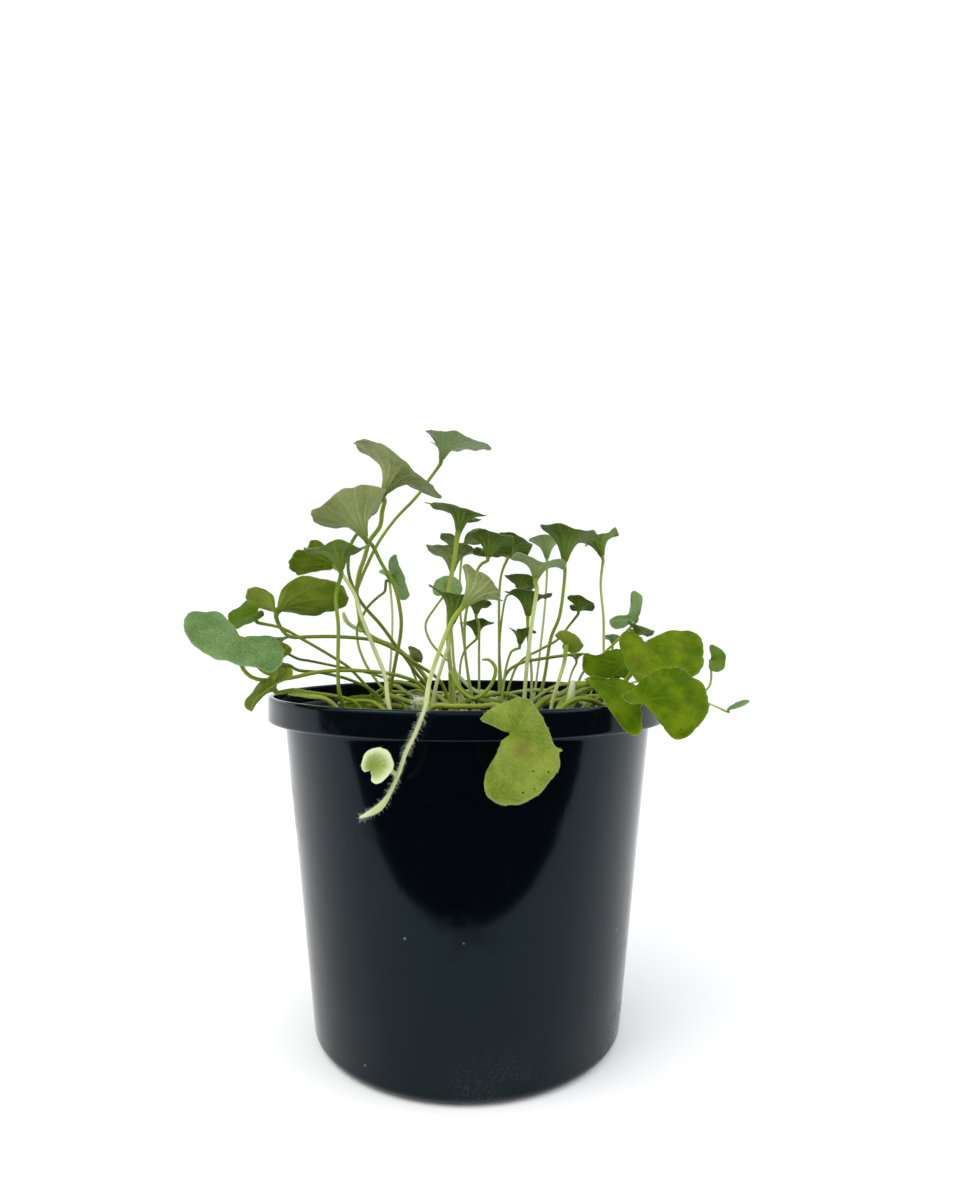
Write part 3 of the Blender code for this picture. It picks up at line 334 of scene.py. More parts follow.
for number in range(CRUMBS + SLIVERS):
    away, turned = mix_rim * 0.985 * random.random() ** 0.5, random.uniform(0, math.tau)
    x, y = away * math.cos(turned), away * math.sin(turned)
    spin = Vector((random.uniform(-0.5, 0.5), random.uniform(-0.4, 0.4), random.uniform(0, math.tau)))
    is_crumb = number < CRUMBS
    size = random.uniform(0.5, 1.9) if is_crumb else random.uniform(0.8, 1.5)
    stretch = random.uniform(0.8, 1.6) if is_crumb else random.uniform(2.4, 4.2)
    if away + size * stretch / 2 > mix_rim:
        stretch = 1.0
    middle = Vector((x, y, mix_height(x, y) + size * 0.1))
    crumb(mix_points, mix_faces, middle, size, stretch, Euler(spin))
mix = make_piece("crumbly_potting_mix", mix_points, mix_faces, [mix_finish()])
mix.data.set_sharp_from_angle(angle=math.radians(30))
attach(mix, "root")
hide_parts("potting_mix")

# The plant: creeping runners that root in the mix, and leaves that each rise on a long stalk. This is
# how every leaf stands; the sections after it make its stalk, its blade and its down.
Leaf = namedtuple(
    "Leaf",
    "name width face tip cup sag_tip sag_side wave lobe_angle fold stem radius edge",
    defaults=(None,),
)


def bare_stem(name, stem, radius):
    """A stalk with no blade at its end."""
    return Leaf(name, 0, (0, 0, 1), (1, 0, 0), 0, 0, 0, 0, 0, 0, stem, radius)


# Each spray's leaves: the way the upper face looks, the way its tip points and how it is bent, as shares
# of its width, then its stalk's route from its root to the blade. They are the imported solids' own sizes.
SPRAYS = {
    "left_front_spray": [
        Leaf("silver_left", width=33, face=(0.25, -0.6, 0.76), tip=(-0.2, -0.78, -0.57),
             cup=0.02, sag_tip=0.05, sag_side=0.04, wave=0.012, lobe_angle=158, fold=0,
             stem=[(-10, -20, 103.1), (-14, -21, 117), (-22, -25, 122), (-35, -30, 124), (-46, -36, 124),
                   (-56, -40, 122), (-64, -43, 122), (-68, -44, 125), (-69, -46, 130),
                   (-67, -50, 135)], radius=0.65,
             edge=[(-5, -6.5), (-6.5, -9.5), (-6.5, -12.5), (-5, -15.5), (-3, -18.5), (1.5, -17.5),
                   (6.5, -14), (9, -10.5), (11, -5.5), (12, -0.5), (11, 5), (9.5, 10), (8, 14.5),
                   (2.5, 14.5), (-2, 12), (-3.5, 7.5), (-2.5, 2.8)]),
        Leaf("upright_mid", width=17, face=(0.88, -0.3, 0.2), tip=(0.25, 0.85, 0.3),
             cup=0.12, sag_tip=0.1, sag_side=0.0, wave=0.02, lobe_angle=140, fold=0.1,
             stem=[(-19, -26, 103.1), (-20, -28, 112), (-24, -27, 115), (-28, -24, 118), (-34, -16, 124),
                   (-38, -9, 130), (-40, -3, 135), (-40, -2, 139), (-38, -2, 143), (-36, -3, 146),
                   (-32, -8, 149), (-29, -11, 151), (-26, -13, 155)], radius=0.5),
        Leaf("low_left", width=23, face=(-0.6, -0.33, 0.7), tip=(-0.5, -0.3, -0.85),
             cup=0.06, sag_tip=0.1, sag_side=0.05, wave=0.03, lobe_angle=150, fold=0.1,
             stem=[(-30, -34, 103.1), (-34, -36, 113), (-39, -38, 116), (-48, -44, 118), (-52, -47, 119),
                   (-56, -48, 119), (-58, -49, 120)], radius=0.65),
        Leaf("shelf_left", width=21, face=(-0.12, 0.05, 1), tip=(0.5, -0.85, 0),
             cup=0.2, sag_tip=0.03, sag_side=-0.04, wave=0.03, lobe_angle=150, fold=0,
             stem=[(-36, -38, 103.1), (-37, -44, 113), (-38, -48, 119), (-38, -50, 128), (-38, -50, 138),
                   (-39, -49, 147), (-38, -48, 157.5)], radius=0.6),
    ],
    "left_long_spray": [
        Leaf("long_left", width=33, face=(0, 0.48, 0.88), tip=(1, 0, 0),
             cup=0.12, sag_tip=0.0, sag_side=-0.03, wave=0.01, lobe_angle=158, fold=0,
             stem=[(-4, -8, 103.1), (-8, -9, 116), (-11, -12, 121), (-18, -16, 126), (-25, -20, 131),
                   (-32, -24, 134), (-42, -30, 135), (-50, -33, 135), (-56, -35, 135), (-59, -36, 138),
                   (-60, -36, 142), (-60, -36, 144)], radius=0.62,
             edge=[(1.5, -4), (4, -9), (9, -12), (15, -12), (20, -9), (22.5, -3), (21, 4), (16, 9), (9, 11),
                   (2, 10.5), (-4, 9), (-8.5, 6), (-10.5, 1), (-9.5, -4), (-6, -7.5), (-3, -7),
                   (-1, -3)]),
        Leaf("tent_left", width=21, face=(-0.35, -0.55, 0.75), tip=(-0.85, 0.1, -0.35),
             cup=0.12, sag_tip=0.2, sag_side=0.2, wave=0.03, lobe_angle=150, fold=0.3,
             stem=[(-25, -6, 103.1), (-32, -8, 113), (-40, -12, 123), (-45, -14, 127), (-56, -18, 134),
                   (-63, -20, 138), (-69, -21, 141), (-72, -22, 142)], radius=0.55),
        Leaf("under_left", width=17, face=(0.0, 0.72, 0.6), tip=(-0.9, -0.3, -0.1),
             cup=0.1, sag_tip=0.15, sag_side=0.15, wave=0.02, lobe_angle=150, fold=0.1,
             stem=[(-23, -14, 103.1), (-31, -16, 115), (-39, -18, 120), (-48, -24, 123), (-55, -28, 124),
                   (-58, -31, 126), (-61, -33, 127)], radius=0.55),
    ],
    "left_back_spray": [
        Leaf("hidden_left", width=17, face=(0.0, -0.35, 0.9), tip=(-0.85, -0.2, -0.1),
             cup=0.1, sag_tip=0.1, sag_side=0.1, wave=0.02, lobe_angle=150, fold=0,
             stem=[(-19, 22, 103.1), (-25, 18, 114), (-34, 12, 120), (-49, 4, 124), (-57, 0, 126),
                   (-61, -4, 127), (-64, -8, 129), (-67, -12, 132)], radius=0.5),
        Leaf("tucked_left", width=15, face=(0.1, -0.75, 0.6), tip=(0.5, 0.1, 0.8),
             cup=0.05, sag_tip=0.1, sag_side=0.1, wave=0.02, lobe_angle=150, fold=0,
             stem=[(-20, 2, 103.1), (-25, -6, 106.5), (-31, -12, 108), (-36, -17, 110)], radius=0.55),
    ],
    "tall_shoot": [
        Leaf("tall_folded", width=35, face=(0.5, 0.1, 0.86), tip=(0.3, -0.9, 0.1),
             cup=0.26, sag_tip=0.02, sag_side=0.03, wave=0.015, lobe_angle=155, fold=0,
             stem=[(-13, 8, 103.1), (-15, 6, 116), (-16, 5, 120), (-21, 4, 126), (-27, 3, 131),
                   (-34, 2, 134), (-39, 2, 138), (-40, 1, 144), (-41, 1, 151), (-40, 0, 158), (-38, 0, 164),
                   (-36, -1, 170), (-32, -3, 175), (-31, -5, 180), (-30, -6, 184),
                   (-29, -8, 188)], radius=0.85,
             edge=[(-2, -2), (-7, -4), (-10, -8), (-9.5, -13), (-5, -17), (2, -18), (9, -14.5), (13, -8),
                   (14.5, -1), (13, 5), (9, 10), (5.5, 14.5), (1, 18.5), (-3, 16.5), (-7.5, 11),
                   (-8, 5), (-2, 2)]),
        Leaf("tall_fan", width=25, face=(0.18, 0.04, 0.98), tip=(1, 0, 0),
             cup=0.24, sag_tip=0.0, sag_side=0.0, wave=0.02, lobe_angle=150, fold=0,
             stem=[(-41, 1, 152), (-38, 2, 160), (-33, 2, 170), (-27, 4, 179), (-20, 6, 187), (-15, 7, 194),
                   (-12, 8, 200), (-10, 8, 204)], radius=0.62,
             edge=[(-1, -2), (-4, -4.5), (-7, -8.5), (-3, -11), (4, -11.5), (11, -9), (16, -5), (18, -1),
                   (15, 5), (9, 9.5), (2, 11), (-4, 9.5), (-6, 6), (-4, 3), (-1, 2)]),
        bare_stem("second_stem",
             stem=[(-8, 2, 103.1), (-14, -1, 116), (-18, -3, 121), (-22, -5, 127), (-26, -5, 132),
                   (-31, -6, 139), (-38, -6, 147), (-42, -6, 155), (-43, -6, 161), (-42, -6, 168),
                   (-39, -6, 173), (-36, -7, 177), (-32, -8, 182), (-29, -8, 186)], radius=0.65),
        bare_stem("left_branch",
             stem=[(-39, 2, 137), (-43, 2, 139), (-45, 2, 141), (-46, 2, 144)], radius=0.7),
    ],
    "mid_spray": [
        Leaf("broad_left", width=27, face=(-0.42, 0.25, 0.87), tip=(0.3, -0.9, 0.3),
             cup=0.3, sag_tip=-0.2, sag_side=-0.2, wave=0.03, lobe_angle=155, fold=0,
             stem=[(-27, -17, 103.1), (-26, -20, 116), (-24, -23, 126), (-22, -25, 136), (-22, -26, 143),
                   (-24, -27, 152), (-28, -28, 159), (-31, -29, 165), (-34, -30, 169)], radius=0.65),
        Leaf("pale_mid", width=10, face=(0.1, -0.35, 0.9), tip=(0.2, 0.9, 0.2),
             cup=0.2, sag_tip=0.1, sag_side=0.0, wave=0.02, lobe_angle=140, fold=0,
             stem=[(-34, 20, 103.1), (-32, 23, 114), (-31, 26, 130), (-31, 28, 144), (-32, 29, 155),
                   (-32, 29, 159)], radius=0.5),
        Leaf("bud_mid", width=10, face=(0.35, 0.5, 0.6), tip=(0.6, -0.3, -0.6),
             cup=0.1, sag_tip=0.1, sag_side=0.1, wave=0.02, lobe_angle=150, fold=0.3,
             stem=[(-16, 27, 103.1), (-19, 25, 113), (-22, 22, 121), (-22, 20, 127)], radius=0.45),
    ],
    "front_runner": [
        Leaf("pale_front", width=18, face=(0.6, 0.15, 0.75), tip=(0.6, -0.3, -0.6),
             cup=0.3, sag_tip=-0.12, sag_side=-0.12, wave=0.02, lobe_angle=150, fold=0,
             stem=[(-10, -74, 117), (-9, -73, 124), (-6, -71, 133), (-3, -70, 140), (-1, -69, 144),
                   (1, -69, 145)], radius=0.62),
        Leaf("curled_front", width=11, face=(-0.2, -0.93, 0.3), tip=(0.5, -0.1, -0.1),
             cup=0.02, sag_tip=0.05, sag_side=0.05, wave=0.02, lobe_angle=158, fold=0,
             stem=[(-17, -78, 99), (-19, -77.5, 100.5), (-22, -77.5, 101.5),
                   (-23, -80, 102)], radius=0.5,
             edge=[(0.1, -1.6), (0.4, -3.6), (2, -4.1), (3.5, -3), (4.5, -1), (5, 1.5), (3.5, 4), (1, 5),
                   (-1, 4.5), (-3, 3), (-3.2, 0.5), (-2.6, -1.5), (-1.6, -1.9), (-0.7, -1)]),
        bare_stem("trail",
             stem=[(-14, -52, 103.1), (-14, -56, 113), (-14, -62, 116), (-13, -68, 118), (-10, -74, 118),
                   (-11, -76, 114), (-13, -76, 109), (-15, -77, 105), (-17, -78, 99), (-20, -78, 93),
                   (-23, -77, 90), (-27, -76, 88)], radius=0.55),
    ],
    "bright_leaf": [
        Leaf("bright_left", width=19, face=(-0.35, 0.6, 0.62), tip=(-0.8, -0.15, -0.5),
             cup=0.02, sag_tip=0.04, sag_side=0.04, wave=0.03, lobe_angle=150, fold=0,
             stem=[(-20, -48, 103.1), (-23, -49, 115), (-25, -42, 123), (-30, -33, 132), (-35, -26, 142),
                   (-38, -20, 149), (-44, -13, 157), (-48, -8, 161)], radius=0.7,
             edge=[(0, -2), (4, -1), (9, 0.8), (12.5, 1.5), (13.5, 3.5), (14, 6), (13, 10), (11, 11),
                   (8.5, 12.5), (6, 12), (3, 14), (0.5, 13), (-0.5, 10.5), (-1.5, 4)]),
    ],
    "centre_front_spray": [
        Leaf("dark_front", width=19, face=(0.2, 0.02, 0.97), tip=(0.2, -0.95, 0),
             cup=0.4, sag_tip=0.0, sag_side=0.0, wave=0.02, lobe_angle=145, fold=0,
             stem=[(-10, -44, 103.1), (-10, -45, 114), (-9, -46, 120), (-7, -46, 127), (-5, -45, 133),
                   (-4, -45, 138), (-4, -45, 141)], radius=0.6),
        Leaf("top_centre", width=22, face=(0.28, 0.03, 0.96), tip=(-1, -0.1, 0),
             cup=0.22, sag_tip=0.03, sag_side=0.03, wave=0.02, lobe_angle=150, fold=0,
             stem=[(-2, -24, 103.1), (-4, -24, 112), (-5, -25, 121), (-6, -26, 131), (-6, -27, 142),
                   (-6, -27, 150), (-4, -28, 161), (-3, -28, 168), (-2, -28, 172)], radius=0.8,
             edge=[(-1, -2), (-4, -4), (-6.5, -8), (-3, -10.5), (3, -10.5), (9, -8), (13, -2.5), (12.5, 2),
                   (8, 7), (2, 9.5), (-4, 9), (-7, 6), (-4.5, 3), (-1, 2)]),
        bare_stem("hooked_stem",
             stem=[(-5, -34, 103.1), (-5, -35, 118), (-5, -36, 124), (-3, -38, 120), (0, -40, 117),
                   (3, -42, 116), (7, -42, 119), (9, -42, 123), (9, -42, 126), (7, -42, 128),
                   (5, -42, 128)], radius=0.62),
    ],
    "centre_back_spray": [
        Leaf("back_centre", width=20, face=(0.0, 0.3, 0.95), tip=(0.3, 0.9, -0.3),
             cup=0.22, sag_tip=0.0, sag_side=-0.02, wave=0.03, lobe_angle=145, fold=0,
             stem=[(2, 38, 103.1), (0, 39, 113), (-2, 40, 129), (-4, 41, 146), (-4, 41, 161),
                   (-3, 41, 173)], radius=0.5),
        Leaf("blue_centre", width=13, face=(-0.1, -0.92, 0.35), tip=(0.1, 0.3, 0.9),
             cup=0.05, sag_tip=0.04, sag_side=0.05, wave=0.02, lobe_angle=155, fold=0,
             stem=[(-3, 30, 103.1), (-7, 31, 122), (-11, 32, 127), (-16, 33, 133), (-18, 34, 140),
                   (-14, 35, 147), (-9, 36, 155)], radius=0.5),
        Leaf("low_centre", width=15, face=(0.0, 0.2, 0.97), tip=(0.2, -0.9, 0),
             cup=0.26, sag_tip=0.0, sag_side=0.0, wave=0.02, lobe_angle=145, fold=0,
             stem=[(-3, 44, 103.1), (-4, 44, 112), (-4, 43, 122), (-2, 42, 129),
                   (3, 40, 137)], radius=0.5),
    ],
    "centre_spray": [
        Leaf("mid_centre", width=20, face=(0.0, 0.2, 0.97), tip=(0.3, -0.9, 0),
             cup=0.3, sag_tip=-0.08, sag_side=-0.1, wave=0.03, lobe_angle=150, fold=0,
             stem=[(1, 2, 103.1), (-2, 3, 112), (-5, 4, 123), (-6, 5, 134), (-7, 5, 145), (-7, 5, 152),
                   (-6, 5, 161)], radius=0.55),
        Leaf("broad_centre", width=21, face=(0.1, 0.38, 0.9), tip=(0.97, -0.1, -0.1),
             cup=0.2, sag_tip=0.05, sag_side=0.08, wave=0.03, lobe_angle=155, fold=0,
             stem=[(4, -4, 103.1), (1, -4, 116), (-1, -4, 130), (-1, -4, 141), (1, -5, 151), (4, -5, 160),
                   (7.5, -5, 165.5)], radius=0.55),
        Leaf("shaded_centre", width=13, face=(0.05, 0.25, 0.95), tip=(0.7, -0.5, 0.1),
             cup=0.25, sag_tip=0.05, sag_side=0.05, wave=0.02, lobe_angle=145, fold=0,
             stem=[(4, 12, 103.1), (4, 12, 114), (4, 12, 130), (4, 11, 139), (3, 10, 145)], radius=0.5),
    ],
    "centre_right_spray": [
        Leaf("light_right", width=18, face=(0.15, 0.03, 0.98), tip=(0.2, -0.95, 0),
             cup=0.22, sag_tip=0.0, sag_side=0.02, wave=0.05, lobe_angle=150, fold=0,
             stem=[(17, -40, 103.1), (18, -40, 115), (19, -41, 127), (20, -42, 136), (21, -42, 143),
                   (22, -42, 150), (22, -42, 155)], radius=0.65),
        Leaf("dark_right", width=18, face=(0.05, 0.1, 1), tip=(0.6, -0.8, 0.0),
             cup=0.34, sag_tip=0.0, sag_side=0.0, wave=0.02, lobe_angle=145, fold=0,
             stem=[(22, -16, 103.1), (22, -16, 115), (22, -16, 124), (21, -15, 134), (21, -15, 141),
                   (21, -15, 144)], radius=0.5),
        bare_stem("long_right",
             stem=[(15, -19, 103.1), (12, -19, 113), (13, -20, 122), (18, -20, 126), (25, -20, 127.5),
                   (32, -19, 128.5), (37, -16, 129), (41, -13, 129)], radius=0.55),
        Leaf("small_dark", width=12, face=(0.1, 0.03, 1), tip=(0.9, 0.3, 0),
             cup=0.3, sag_tip=0.02, sag_side=0.0, wave=0.02, lobe_angle=140, fold=0,
             stem=[(10, -22, 103.1), (12, -22, 117), (13, -21, 124), (15, -20, 130),
                   (18, -20, 134)], radius=0.45),
    ],
    "back_right_spray": [
        Leaf("twin_front", width=21, face=(0.2, 0.4, 0.88), tip=(0.9, 0.1, -0.35),
             cup=0.2, sag_tip=0.12, sag_side=0.12, wave=0.02, lobe_angle=155, fold=0,
             stem=[(12, 26, 103.1), (12, 26, 118), (12, 26, 134), (12, 26, 150), (13, 26, 160),
                   (16, 26, 169)], radius=0.55),
        Leaf("twin_shade", width=16, face=(0.15, 0.35, 0.9), tip=(0.7, -0.5, -0.2),
             cup=0.2, sag_tip=0.08, sag_side=0.08, wave=0.02, lobe_angle=150, fold=0,
             stem=[(14, 20, 103.1), (13, 20, 114), (12, 19, 130), (13, 18, 143), (15, 18, 151),
                   (20, 18, 154)], radius=0.45),
        Leaf("pale_back", width=16, face=(0.0, 0.15, 1), tip=(0.3, -0.9, 0.0),
             cup=0.35, sag_tip=-0.1, sag_side=-0.1, wave=0.02, lobe_angle=145, fold=0,
             stem=[(26, 46, 103.1), (28, 46, 114), (30, 46, 129), (32, 46, 147), (33, 46, 161),
                   (33, 46, 170)], radius=0.5),
    ],
    "right_tall_spray": [
        Leaf("bent_right", width=14, face=(0.2, 0.35, 0.9), tip=(0.9, -0.3, -0.2),
             cup=0.15, sag_tip=0.08, sag_side=0.08, wave=0.02, lobe_angle=155, fold=0,
             stem=[(12, 6, 103.1), (16, 7, 119), (20, 8, 126), (27, 9, 130), (34, 10, 134), (38, 10, 139),
                   (42, 10, 146)], radius=0.5),
        Leaf("wide_right", width=27, face=(0.08, 0.06, 1), tip=(0.95, -0.3, 0),
             cup=0.32, sag_tip=0.02, sag_side=0.0, wave=0.02, lobe_angle=150, fold=0,
             stem=[(25, 2, 103.1), (26, 1, 112), (28, 0, 121), (30, -2, 134), (33, -3, 142), (34.5, -4, 152),
                   (35, -5, 159), (35, -5, 164)], radius=0.65),
        Leaf("tiny_right", width=6, face=(0.0, 0.3, 0.9), tip=(0.5, 0.5, 0),
             cup=0.2, sag_tip=0, sag_side=0, wave=0, lobe_angle=145, fold=0,
             stem=[(37, 10, 103.1), (38, 14, 115), (40, 18, 121), (42, 20, 127)], radius=0.4),
        Leaf("wing_right", width=21, face=(-0.28, 0.05, 0.95), tip=(0.95, -0.3, 0.2),
             cup=0.25, sag_tip=0.0, sag_side=-0.02, wave=0.02, lobe_angle=150, fold=0,
             stem=[(52, 14, 103.1), (52, 15, 114), (52, 15, 130), (52, 15, 142), (51, 15, 155),
                   (51, 15, 165), (51, 15, 168)], radius=0.55),
    ],
    "right_front_spray": [
        Leaf("young_right", width=11.5, face=(0.25, 0.5, 0.8), tip=(0.6, -0.3, 0),
             cup=0.06, sag_tip=0.0, sag_side=0.0, wave=0.02, lobe_angle=140, fold=0,
             stem=[(25, -46, 103.1), (26, -46, 114), (28, -46, 121), (30, -45, 127),
                   (31, -45, 133)], radius=0.6),
        bare_stem("bud",
             stem=[(25.3, -46, 106.5), (29, -46.5, 110.5), (31.5, -47, 116),
                   (32.4, -47, 122)], radius=0.85),
    ],
    "right_back_spray": [
        Leaf("silver_back_right", width=20, face=(-0.1, -0.9, 0.4), tip=(-0.7, 0, 0.5),
             cup=0.02, sag_tip=0.03, sag_side=0.03, wave=0.02, lobe_angle=150, fold=0,
             stem=[(41, 30, 103.1), (45, 29, 119), (53, 28, 127), (57, 27, 131), (62, 26, 136),
                   (67, 25, 142)], radius=0.55,
             edge=[(0.5, -3.5), (1.5, -7), (3.5, -10.5), (7, -10.5), (7.5, -8.5), (5, -3.5), (4, 0.5),
                   (7.5, 3), (9, 5.5), (8, 7.5), (5, 8), (2.5, 6)]),
        Leaf("tiny_back_right", width=10, face=(0.1, 0.2, 0.95), tip=(-0.8, -0.4, 0.0),
             cup=0.2, sag_tip=0.0, sag_side=0.05, wave=0.02, lobe_angle=150, fold=0,
             stem=[(46, 36, 103.1), (51, 38, 113), (56, 40, 121), (59.5, 40, 128.5),
                   (60, 40, 133)], radius=0.4),
        Leaf("fold_back_right", width=15, face=(0.25, 0.2, 0.85), tip=(0.85, -0.3, -0.3),
             cup=0.1, sag_tip=0.1, sag_side=0.15, wave=0.02, lobe_angle=150, fold=0.1,
             stem=[(48, 22, 103.1), (54, 20, 116), (59, 18, 125), (62, 16, 132),
                   (65, 14, 137)], radius=0.5),
    ],
    "right_cluster": [
        Leaf("square_right", width=20, face=(-0.05, -0.8, 0.55), tip=(-0.9, -0.1, -0.2),
             cup=0.02, sag_tip=0.03, sag_side=0.03, wave=0.01, lobe_angle=155, fold=0,
             stem=[(31, -20, 103.1), (38, -20, 115), (46, -20, 119), (52, -20, 122),
                   (53, -21, 126)], radius=0.7,
             edge=[(-3, -3), (0, -6), (3, -6.5), (6.5, -6), (9.5, -6.5), (11.8, -7.6), (13, -5), (14, -2),
                   (13, 1), (11, 3.5), (7.5, 4), (3.5, 4.5), (0, 6), (-3, 2)]),
        Leaf("heart_right", width=30, face=(0.1, -0.75, 0.65), tip=(0.5, -0.5, -0.7),
             cup=0.02, sag_tip=0.04, sag_side=0.03, wave=0.012, lobe_angle=160, fold=0,
             stem=[(32, -28, 103.1), (40, -29, 114), (49, -29, 118), (54, -30, 124), (56, -32, 129),
                   (57, -35, 133)], radius=0.8,
             edge=[(-2.5, 0.5), (-5, -1.5), (-6.5, -4), (-5, -7), (-1, -9.5), (3.5, -11), (7, -12),
                   (11.5, -12.5), (15, -9.5), (17, -5.5), (18, 0), (17.5, 6), (15.5, 11), (11.5, 15),
                   (6, 18.5), (2.5, 17), (1, 14), (-0.5, 9.5), (-1, 2)]),
        Leaf("droop_right", width=21, face=(-0.15, -0.72, 0.68), tip=(0.6, -0.5, -0.65),
             cup=0.0, sag_tip=0.02, sag_side=0.06, wave=0.01, lobe_angle=130, fold=0,
             stem=[(27, -38, 103.1), (31, -42, 116), (34, -46, 120), (37, -50, 122.5)], radius=0.8,
             edge=[(-0.8, -1.2), (4, -1.5), (9.5, -2.5), (14.5, -3.5), (19.5, -4.5), (21.5, -4), (23, -2.5),
                   (21.5, 0.5), (16.5, 5), (10.5, 9), (9, 8.5), (5.5, 6.5), (3.5, 4.3),
                   (-0.8, 1.4)]),
        Leaf("front_right", width=27, face=(0.1, -0.85, 0.5), tip=(0.9, -0.1, -0.35),
             cup=0.02, sag_tip=0.03, sag_side=0.04, wave=0.01, lobe_angle=150, fold=0,
             stem=[(31, -36, 103.1), (40, -40, 115), (47, -45, 118), (50, -52, 118.5), (51, -58, 118),
                   (50, -63, 117.5)], radius=0.8,
             edge=[(1, -1.2), (3.5, -2.9), (7, -5.5), (10, -7.5), (12, -7.5), (14, -6), (16, -3), (18, 3),
                   (18, 7), (16.5, 11.5), (14, 13.5), (9.5, 15), (6, 14), (3, 12.5), (0, 9), (-2.5, 4.5),
                   (-4.5, 0.5), (-6, -1.5), (-3, -3), (-0.5, -1.5)]),
    ],
    "right_far_spray": [
        Leaf("round_far_right", width=12, face=(0.3, -0.85, 0.3), tip=(0.75, 0.0, -0.1),
             cup=0.1, sag_tip=0.0, sag_side=0.1, wave=0.02, lobe_angle=140, fold=0.1,
             stem=[(54, 18, 103.1), (58, 19.3, 113.5), (65, 21.5, 117), (72, 22.5, 117), (84, 23, 113.5),
                   (91, 24, 112.5), (95, 24, 115), (96, 24, 119.5), (96, 24, 124),
                   (97, 24, 126)], radius=0.45),
        Leaf("sprout_far_right", width=8, face=(-0.3, -0.45, 0.85), tip=(0.9, 0, 0.4),
             cup=0.0, sag_tip=0, sag_side=0.1, wave=0.0, lobe_angle=110, fold=0.2,
             stem=[(84, 23, 113.5), (91, 21, 110), (96, 20, 107.8), (101, 19.5, 107)], radius=0.4,
             edge=[(0.4, -0.7), (2.5, -1.7), (5, -1.8), (7.5, -1.1), (9, 0), (7.5, 1.1), (5, 1.8),
                   (2.5, 1.6), (0.4, 0.6)]),
    ],
    "hanging_leaf": [
        Leaf("hanging_front", width=29, face=(-0.1, -0.93, 0.3), tip=(0.8, -0.1, -0.6),
             cup=0.02, sag_tip=0.02, sag_side=0.03, wave=0.01, lobe_angle=160, fold=0,
             stem=[(22, -40, 103.1), (19, -50, 111), (16, -58, 116), (14, -64, 117), (13, -69, 117),
                   (13, -72, 115), (13, -75, 110)], radius=0.65,
             edge=[(-1, -3.5), (0, -7.5), (0.2, -10.5), (1, -14), (4, -17), (8, -17), (11, -15),
                   (13.5, -12), (15, -8), (15.5, -3), (15, 0.5), (13, 2.6), (13.2, 4), (11, 3.6),
                   (6.5, 6.5), (2, 8.5), (-3, 9.5), (-6, 6.5), (-8, 2.5), (-9, -2.4), (-7, -2.2),
                   (-2.5, -1.2)]),
    ],
    "runner_front": [
        bare_stem("runner",
             stem=[(-12, -50, 103.1), (-10, -54, 114), (-3, -57, 115), (4, -57, 115), (10, -56, 115),
                   (14, -52, 109)], radius=0.85),
    ],
    "runner_right": [
        bare_stem("runner",
             stem=[(13, -33, 103.1), (18, -35, 111), (29, -36, 115), (42, -34, 116), (51, -30, 114),
                   (55, -26, 107)], radius=0.8),
    ],
    "runner_right_back": [
        bare_stem("runner",
             stem=[(34, 2, 103.1), (39, 0, 115), (48, 0, 117), (56, 2, 116), (62, 6, 108)], radius=0.8),
    ],
    "runner_left_stub": [
        bare_stem("runner",
             stem=[(-32, -46, 103.1), (-36, -49, 111), (-41, -51, 116.5), (-46, -51, 117.5),
                   (-50, -50, 118), (-53, -49, 118)], radius=0.7),
    ],
}

